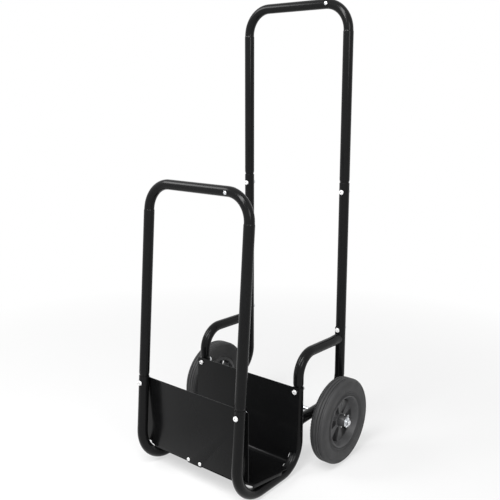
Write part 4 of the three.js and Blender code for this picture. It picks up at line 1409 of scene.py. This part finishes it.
# %% [markdown]
# ## The small screws in the handle bars
#
# One small screw sits in the right half of each bar, turned up a little from the front. The tree is
# the same; only the tilt differs, and the front one leans with its hoop as well.

# %% Bar screws
BAR_SCREW_X, BAR_TILT = 85, -math.pi / 16


def bar_screw(name, place, node):
    head = domed_head(*SCREW_HEAD, 1.7)
    shank = turned("shank", [(0, 0), (0, 2.5), (9, 2.5), (9, 0)], 20, closed=False)
    shank.data.transform(ALONG_Y)
    shape = joined("bar screw", [head, shank])
    shape.data.transform(Matrix.Translation((0, -TUBE_R * BOW_SHARE - GAP, 0)))
    made = on_points(name, shape, [(0, 0, 0)], BAR_TILT)
    bpy.data.objects.remove(shape)
    return ready(settle(shade(made, 30), place), "bright_zinc", "frame", node)


front_place = LEANING @ Matrix.Translation((BAR_SCREW_X, 0, FRONT_BAR_Z * ALONG_LEAN))
rear_place = Matrix.Translation((BAR_SCREW_X, POST_Y, REAR_BAR_Z))
print(bar_screw("low_bar_screw", front_place, "front_bar_screw").name)
print(bar_screw("tall_bar_screw", rear_place, "rear_bar_screw").name)

# %% [markdown]
# ## Floor and light
#
# The cart stands on a plain white floor. The floor's colour is nearly white, and for rays that come
# straight from the camera or through a reflection it also glows a little, so that it ends without a
# horizon while the soft shadow stays. A long soft box in front and above stands where the bends of
# the handles reflect it. One stands at the right, towards the outer face of the near wheel, and one
# at the upper left, where the fold of the cradle reflects it. Together they light a colour about as
# it is written.

# %% Rays that see the backdrop
def backdrop_rays(tree):
    """1 for rays from the camera, or by way of a reflection or glass, and 0 for the others."""
    path = tree.nodes.new("ShaderNodeLightPath")
    seen = group_math(tree, "MAXIMUM", path.outputs["Is Camera Ray"], path.outputs["Is Glossy Ray"])
    return group_math(tree, "MAXIMUM", seen, path.outputs["Is Transmission Ray"])


# %% White floor
def white_floor():
    """A pale floor that goes over into plain white between 0.45 and 1.5 metres from the cart."""
    floor = from_points("floor", [(-60, -60, 0), (60, -60, 0), (60, 60, 0), (-60, 60, 0)],
                        [(0, 1, 2, 3)])
    made = Finish("white floor", patch=0.4, grain=0.002, scuffs=0.0)
    tone = made.mixed(made.surface.outputs["Patches"], (0.80, 0.80, 0.80), (0.84, 0.84, 0.84))
    made.set(Base_Color=tone, Roughness=0.9, Specular_IOR_Level=0.05)
    tree = made.tree
    distance = tree.nodes.new("ShaderNodeVectorMath")
    distance.operation = "LENGTH"
    tree.links.new(made.place, distance.inputs[0])
    far = made.ranged(distance.outputs["Value"], 0.6, 1.0, 0.45, 1.5)
    glow = tree.nodes.new("ShaderNodeEmission")
    blend = tree.nodes.new("ShaderNodeMixShader")
    tree.links.new(group_math(tree, "MULTIPLY", far, backdrop_rays(tree)), blend.inputs["Fac"])
    tree.links.new(made.shader.outputs["BSDF"], blend.inputs[1])
    tree.links.new(glow.outputs["Emission"], blend.inputs[2])
    tree.links.new(blend.outputs["Shader"], tree.nodes["Material Output"].inputs["Surface"])
    floor.data.materials.append(made.material)
    return floor


print("floor:", white_floor().name)


# %% World
def plain_world():
    world = bpy.data.worlds.new("plain white")
    bpy.context.scene.world = world
    world.use_nodes = True
    tree = world.node_tree
    background = tree.nodes["Background"]
    background.inputs["Color"].default_value = (1, 1, 1, 1)
    strength = tree.nodes.new("ShaderNodeMapRange")
    strength.inputs["To Min"].default_value = 0.2
    strength.inputs["To Max"].default_value = 1.0
    tree.links.new(backdrop_rays(tree), strength.inputs["Value"])
    tree.links.new(strength.outputs["Result"], background.inputs["Strength"])
    return world


print("world:", plain_world().name)


# %% Lamps
def soft_lamp(name, place, aim, size, power, long_side=(1, 0, 0)):
    """A rectangular soft box that faces aim, its first size lying along long_side."""
    lamp = bpy.data.lights.new(name, "AREA")
    lamp.shape, lamp.size, lamp.size_y, lamp.energy = "RECTANGLE", size[0], size[1], power
    made = bpy.data.objects.new(name, lamp)
    bpy.context.scene.collection.objects.link(made)
    back = (Vector(place) - Vector(aim)).normalized()
    up = back.cross(Vector(long_side)).normalized()
    turn = Matrix((up.cross(back), up, back)).transposed()
    made.matrix_world = Matrix.Translation(place) @ turn.to_4x4()
    return made


soft_lamp("key box", place=(0.3, -1.25, 2.1), aim=(0.14, 0, 0.85), size=(1.7, 0.5), power=56,
          long_side=(0.5, 0.71, 0.5))
soft_lamp("right box", place=(2.0, -1.0, 1.5), aim=(0, 0, 0.4), size=(0.9, 0.9), power=17)
soft_lamp("left box", place=(-1.27, -0.9, 1.79), aim=(0, 0.15, 0.04), size=(0.9, 0.6), power=17,
          long_side=(0, -0.85, -0.52))

# %% [markdown]
# ## The photograph's view
#
# The camera was found by matching the outline of the solids with the photograph: it stands in front
# and to the right, 0.85 m above the floor, looking a little down. The match also needed a small
# Shift Y, which puts the optical axis slightly above the middle of the picture.

# %% Camera
PICTURE_PX, FOCAL_PX, SENSOR_MM = 500, 700.45, 36
CAMERA_PLACE = (0.98197, -1.19926, 0.85113)
LOOKS_DOWN, TURNED_LEFT = 11.2146, 38.8978


def photo_camera():
    data = bpy.data.cameras.new("photo view")
    data.lens, data.sensor_width = SENSOR_MM * FOCAL_PX / PICTURE_PX, SENSOR_MM
    data.shift_y = -0.04
    camera = bpy.data.objects.new("photo view", data)
    bpy.context.scene.collection.objects.link(camera)
    camera.location = CAMERA_PLACE
    camera.rotation_euler = (math.radians(90 - LOOKS_DOWN), 0, math.radians(TURNED_LEFT))
    bpy.context.scene.camera = camera
    return camera


photo_camera()
bpy.context.scene.view_settings.view_transform = "Standard"
